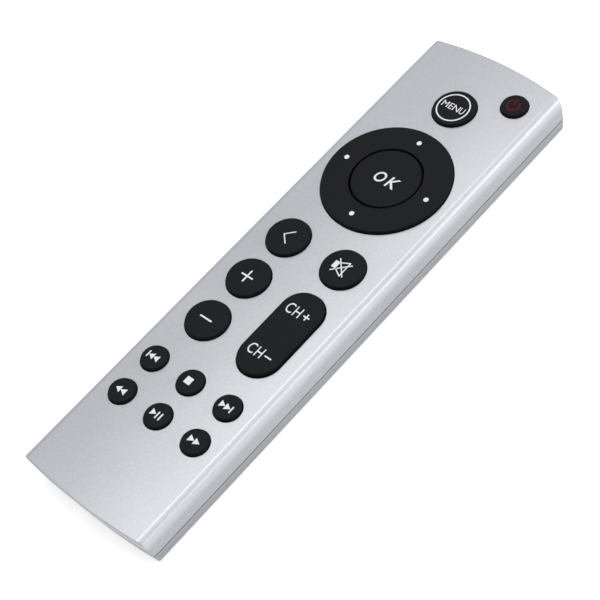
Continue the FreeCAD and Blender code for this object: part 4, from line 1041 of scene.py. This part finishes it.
@dataclass
class LargeKeys:
    """The power, MENU, back, mute and volume keys, with signs in millimetres from each key's middle."""

    fine: float = 0.28
    bold: float = 0.40
    broad: float = 0.46
    square_end: float = 0.1
    power_middle: Point = (-0.05, -0.25)
    power_radius: float = 1.70
    power_opening: float = 76.0
    menu_middle: Point = (-0.09, -0.16)
    menu_radius: float = 4.10
    menu_line: float = 0.34
    speaker_height: float = 1.9

    def power(self) -> tuple[Mark, ...]:
        """An open ring with an upright stroke."""
        x = self.power_middle[0]
        return (Hoop(self.power_middle, self.power_radius, self.broad, self.power_opening, corners=60),
                Bar((x, -0.10), (x, 1.75), self.broad, self.square_end))

    def menu(self) -> tuple[Mark, ...]:
        """The word in a ring, set letter by letter."""
        return (Hoop(self.menu_middle, self.menu_radius, self.menu_line),
                Word("M", (-3.18, -0.94), (-1.60, 0.79)), Word("E", (-1.22, -0.95), (-0.24, 0.79)),
                Word("N", (-0.02, -0.95), (1.60, 0.80)), Word("U", (1.84, -0.97), (2.98, 0.80)))

    def back(self) -> tuple[Mark, ...]:
        """Two strokes that meet at the left."""
        return (Bar((-1.05, -0.16), (1.08, 1.86), self.fine),
                Bar((-1.05, 0.02), (1.08, -2.04), self.fine))

    def mute(self) -> tuple[Mark, ...]:
        """A loudspeaker, crossed out.

        Returns:
            The speaker's box, the outline of its cone and the cross.
        """
        box = Bar((-2.46, -0.05), (-1.20, -0.05), self.speaker_height, 0.05)
        upper = Bar((-1.30, 0.76), (1.02, 1.86), self.fine)
        mouth = Bar((0.94, 1.98), (0.94, -2.20), self.fine)
        lower = Bar((-1.30, -0.86), (1.02, -2.12), self.fine)
        falling = Bar((-1.98, 1.80), (1.72, -2.05), self.fine)
        rising = Bar((-2.05, -1.92), (1.80, 1.63), self.fine)
        return (box, upper, mouth, lower, falling, rising)

    def plus(self) -> tuple[Mark, ...]:
        """Two crossing strokes."""
        return (Bar((-1.85, -0.05), (1.61, -0.05), self.bold),
                Bar((-0.12, -1.78), (-0.12, 1.68), self.bold))

    def minus(self) -> tuple[Mark, ...]:
        """One stroke across."""
        return (Bar((-1.88, -0.10), (1.66, -0.10), self.bold),)

    def build(self) -> None:
        """Makes the keys, of which power is printed red."""
        make_keys({"power": self.power(), "menu": self.menu(), "back": self.back(), "mute": self.mute(),
                   "volume_up": self.plus(), "volume_down": self.minus()}, {"power": Ink.RED})


@dataclass
class SmallKeys:
    """The six transport keys, with signs in millimetres from each key's middle."""

    sign_half: float = 0.85
    line: float = 0.36
    square_end: float = 0.1
    next_drop: float = 0.12
    rewind_drop: float = 0.06
    pause_top: float = 0.86
    pause_foot: float = -0.98
    stop_size: float = 1.8

    def wedge(self, tip: float, length: float, heading: Heading, drop: float = 0.0) -> Wedge:
        """A wedge as tall as the signs, by the place of its tip along the key."""
        return Wedge((tip, -drop), length, 2 * self.sign_half, heading)

    def bar(self, place: float, top: float, foot: float) -> Bar:
        """An upright bar, by its place along the key."""
        return Bar((place, top), (place, foot), self.line, self.square_end)

    def signs(self) -> dict[str, tuple[Mark, ...]]:
        """The sign of each key.

        Returns:
            Its marks, by the key's name.
        """
        half, left, right = self.sign_half, Heading.LEFT, Heading.RIGHT
        return {
            "previous": (self.bar(-1.58, half, -half),
                         self.wedge(-1.36, 1.42, left), self.wedge(0.06, 1.42, left)),
            "stop": (Bar((-1.15, -0.04), (0.65, -0.04), self.stop_size, 0.04),),
            "next": (self.wedge(-0.30, 1.50, right, self.next_drop),
                     self.wedge(1.20, 1.50, right, self.next_drop),
                     self.bar(1.44, half - self.next_drop, -half - self.next_drop)),
            "rewind": (self.wedge(-1.52, 1.40, left, self.rewind_drop),
                       self.wedge(-0.12, 1.50, left, self.rewind_drop)),
            "play_pause": (self.wedge(-0.28, 1.48, right),
                           self.bar(0.10, self.pause_top, self.pause_foot),
                           self.bar(1.05, self.pause_top, self.pause_foot)),
            "fast_forward": (self.wedge(0.10, 1.62, right), self.wedge(1.60, 1.52, right)),
        }

    def build(self) -> None:
        """Makes the keys, all printed white."""
        make_keys(self.signs(), {})


@dataclass
class Keypad:
    """The twelve round keys and the soft mat below."""

    large: LargeKeys = field(default_factory=LargeKeys)
    small: SmallKeys = field(default_factory=SmallKeys)

    def build(self) -> None:
        """Finishes the mat and makes both kinds of key."""
        dress(["keypad_mat"], MAT_RUBBER)
        self.large.build()
        self.small.build()


@dataclass
class NavigationPad:
    """The tilting ring with its four dots, its seat and the OK key."""

    dot_reach: float = 11.9
    dot_radius: float = 0.6
    weight: float = 0.012
    slant: float = 0.16

    def build(self) -> None:
        """Finishes the pad and prints its dots and word."""
        dress(["dpad_ring", "ok_button"], KEY_BLACK)
        dress(["dpad_seat"], MAT_RUBBER)
        dress(["dpad_contact_pills", "ok_contact_pill"], CARBON_RUBBER)
        reach = self.dot_reach
        places = ((reach, 0.0), (-reach, 0.0), (0.0, reach), (0.0, -reach))
        Print("dpad_ring", tuple(Disc(place, self.dot_radius) for place in places), label="dots").lay()
        Print("ok_button", (
            Word("O", (-2.62, -1.92), (0.20, 1.06), self.weight, self.slant),
            Word("K", (0.98, -1.96), (3.78, 1.06), self.weight, self.slant)), label="word").lay()


@dataclass
class ChannelRocker:
    """The long channel key, printed at both ends."""

    line: float = 0.34
    up_base: float = 4.83
    down_base: float = -7.60
    round_height: float = 2.67
    straight_height: float = 2.61

    def letters(self, base: float) -> tuple[Mark, ...]:
        """The letters C and H on a base line."""
        return (Word("C", (-3.40, base), (-1.58, base + self.round_height)),
                Word("H", (-1.08, base), (0.62, base + self.straight_height)))

    def build(self) -> None:
        """Finishes the key and prints CH+ at its far end and CH- at its near one."""
        dress(["channel_rocker"], KEY_BLACK)
        dress(["channel_contact_pills"], CARBON_RUBBER)
        plus = (Bar((1.38, 6.12), (3.18, 6.12), self.line), Bar((2.28, 5.22), (2.28, 7.02), self.line))
        minus = Bar((1.28, -6.34), (3.22, -6.34), self.line)
        marks = (*self.letters(self.up_base), *plus, *self.letters(self.down_base), minus)
        Print("channel_rocker", marks, label="words").lay()


@dataclass
class Electronics:
    """The circuit board and what is soldered to it."""

    finishes: dict[str, Finish] = field(default_factory=lambda: {
        "circuit_board": BOARD_MASK, "contact_pads": CARBON_PRINT, "controller_chip": CHIP_EPOXY,
        "resistors": CHIP_EPOXY, "transistor": CHIP_EPOXY, "resonator": DIPPED_YELLOW, "capacitor": SLEEVE,
        "ir_emitter": EMITTER_RESIN, "ir_emitter_leads": TIN_PLATE})

    def build(self) -> None:
        """Finishes the board and its parts."""
        for name, finish in self.finishes.items():
            dress([name], finish)


@dataclass
class PowerCell:
    """The coin cell with its pole mark, between its two contacts."""

    pole_half: float = 2.4
    pole_width: float = 0.6

    def build(self) -> None:
        """Finishes the cell and the contacts, and marks the cell's pole."""
        dress(["coin_cell"], CELL_STEEL)
        dress(["battery_negative_leaf", "battery_positive_clip"], TIN_PLATE)
        reach = self.pole_half
        plus = (Bar((-reach, 0.0), (reach, 0.0), self.pole_width),
                Bar((0.0, -reach), (0.0, reach), self.pole_width))
        Print("coin_cell", plus, Ink.BLACK, "pole", Side.UNDERSIDE).lay()


@dataclass(frozen=True)
class Lamp:
    """A soft rectangular lamp that looks at the remote, with its length along a given line."""

    name: str
    towards: Triple
    along: Triple
    width: float
    length: float
    share: float
    distance: float = 1.1

    def build(self) -> None:
        """Sets up the lamp, whose share is what it adds to a white surface that faces it."""
        deselect()
        place = Vector(self.towards).normalized() * self.distance
        bpy.ops.object.light_add(type="AREA", location=place)
        lamp = bpy.context.object
        lamp.name = self.name
        lamp.data.shape = "RECTANGLE"
        lamp.data.size = self.width
        lamp.data.size_y = self.length
        lamp.data.energy = self.share * (math.pi * self.distance) ** 2
        back = place.normalized()
        right = Vector(self.along).cross(back).normalized()
        lamp.rotation_euler = Matrix((right, back.cross(right), back)).transposed().to_euler()
        LOG.info("lamp %s is up", self.name)


@dataclass
class Studio:
    """The pale floor, the soft light and the camera at the photograph's angle."""

    floor_size: float = 6.0
    floor_white: float = 0.84
    floor_lift: float = 0.48
    far_lift: float = 0.76
    lift_reach: Point = (0.3, 1.0)
    sky_level: float = 0.32
    lamps: tuple[Lamp, ...] = (
        Lamp("overhead_lamp", (-0.258, -0.02, 0.93), (0, 1, 0), width=0.51, length=1.40, share=0.52),
        Lamp("fill_lamp", (0.38, 0.10, 0.93), (0, 1, 0), width=0.75, length=1.40, share=0.28),
        Lamp("side_lamp", (0.81, 0.56, 0.23), (-0.59, 0.81, 0), width=0.75, length=1.15, share=0.68),
    )
    camera_place: Triple = (0.20482, -0.12599, 0.30519)
    camera_right: Triple = (0.7216, 0.6556, -0.2222)
    camera_up: Triple = (-0.4435, 0.6843, 0.5788)
    camera_back: Triple = (0.5315, -0.3191, 0.7846)
    lens: float = 103.58
    sensor: float = 36.0
    clip: Point = (0.01, 20.0)

    def seen_rays(self, tree: bpy.types.NodeTree) -> Socket:
        """One where the ray comes from the camera, a reflection or clear stuff, and nought elsewhere.

        Args:
            tree: The graph that needs it.

        Returns:
            The flag.
        """
        rays = tree.nodes.new("ShaderNodeLightPath")
        flag = rays.outputs["Is Camera Ray"]
        for name in ("Is Glossy Ray", "Is Transmission Ray"):
            larger = tree.nodes.new("ShaderNodeMath")
            larger.operation = "MAXIMUM"
            tree.links.new(flag, larger.inputs[0])
            tree.links.new(rays.outputs[name], larger.inputs[1])
            flag = larger.outputs[0]
        return flag

    def raise_sky(self) -> None:
        """Makes an even sky, white to the eye and in reflections and dimmer as a light."""
        world = bpy.data.worlds.new("studio_sky")
        bpy.context.scene.world = world
        world.use_nodes = True
        tree = world.node_tree
        tree.nodes.clear()
        output = tree.nodes.new("ShaderNodeOutputWorld")
        back = tree.nodes.new("ShaderNodeBackground")
        back.inputs["Color"].default_value = (1.0, 1.0, 1.0, 1.0)
        level = tree.nodes.new("ShaderNodeMath")
        level.operation = "MULTIPLY_ADD"
        tree.links.new(self.seen_rays(tree), level.inputs[0])
        level.inputs[1].default_value = 1.0 - self.sky_level
        level.inputs[2].default_value = self.sky_level
        tree.links.new(level.outputs[0], back.inputs["Strength"])
        tree.links.new(back.outputs[0], output.inputs["Surface"])

    def lay_floor(self) -> None:
        """Lays a pale floor that keeps the shadow and is white beyond it."""
        deselect()
        bpy.ops.mesh.primitive_plane_add(size=self.floor_size, location=(0, 0, 0))
        floor = bpy.context.object
        floor.name = "studio_floor"
        material = bpy.data.materials.new("floor_card")
        material.use_nodes = True
        tree = material.node_tree
        tree.nodes.clear()
        output = tree.nodes.new("ShaderNodeOutputMaterial")
        card = tree.nodes.new("ShaderNodeBsdfDiffuse")
        card.inputs["Color"].default_value = (self.floor_white, self.floor_white, self.floor_white, 1.0)
        lift = tree.nodes.new("ShaderNodeEmission")
        away = tree.nodes.new("ShaderNodeVectorMath")
        away.operation = "LENGTH"
        tree.links.new(tree.nodes.new("ShaderNodeTexCoord").outputs["Object"], away.inputs[0])
        level = tree.nodes.new("ShaderNodeMapRange")
        tree.links.new(away.outputs["Value"], level.inputs["Value"])
        for name, value in (("From Min", self.lift_reach[0]), ("From Max", self.lift_reach[1]),
                            ("To Min", self.floor_lift), ("To Max", self.far_lift)):
            level.inputs[name].default_value = value
        strength = tree.nodes.new("ShaderNodeMath")
        strength.operation = "MULTIPLY"
        tree.links.new(self.seen_rays(tree), strength.inputs[0])
        tree.links.new(level.outputs["Result"], strength.inputs[1])
        tree.links.new(strength.outputs[0], lift.inputs["Strength"])
        both = tree.nodes.new("ShaderNodeAddShader")
        tree.links.new(card.outputs[0], both.inputs[0])
        tree.links.new(lift.outputs[0], both.inputs[1])
        tree.links.new(both.outputs[0], output.inputs["Surface"])
        floor.data.materials.append(material)

    def set_camera(self) -> None:
        """Stands the camera where the photograph was taken from."""
        deselect()
        bpy.ops.object.camera_add()
        camera = bpy.context.object
        turn = Matrix((self.camera_right, self.camera_up, self.camera_back)).transposed()
        camera.matrix_world = Matrix.LocRotScale(Vector(self.camera_place), turn.to_quaternion(), None)
        camera.data.sensor_width = self.sensor
        camera.data.lens = self.lens
        camera.data.clip_start, camera.data.clip_end = self.clip
        bpy.context.scene.camera = camera

    def build(self) -> None:
        """Sets up the studio."""
        bpy.context.scene.view_settings.view_transform = "Standard"
        self.raise_sky()
        self.lay_floor()
        for lamp in self.lamps:
            lamp.build()
        self.set_camera()


def main() -> None:
    """Builds the remote's looks in order."""
    logging.basicConfig(level=logging.INFO, format="%(name)s: %(message)s")
    for kind in (CaseShells, Keypad, NavigationPad, ChannelRocker, Electronics, PowerCell, Studio):
        assembly = kind()
        assembly.build()
        LOG.info("%s is done", type(assembly).__name__)


if __name__ == "__main__":
    main()
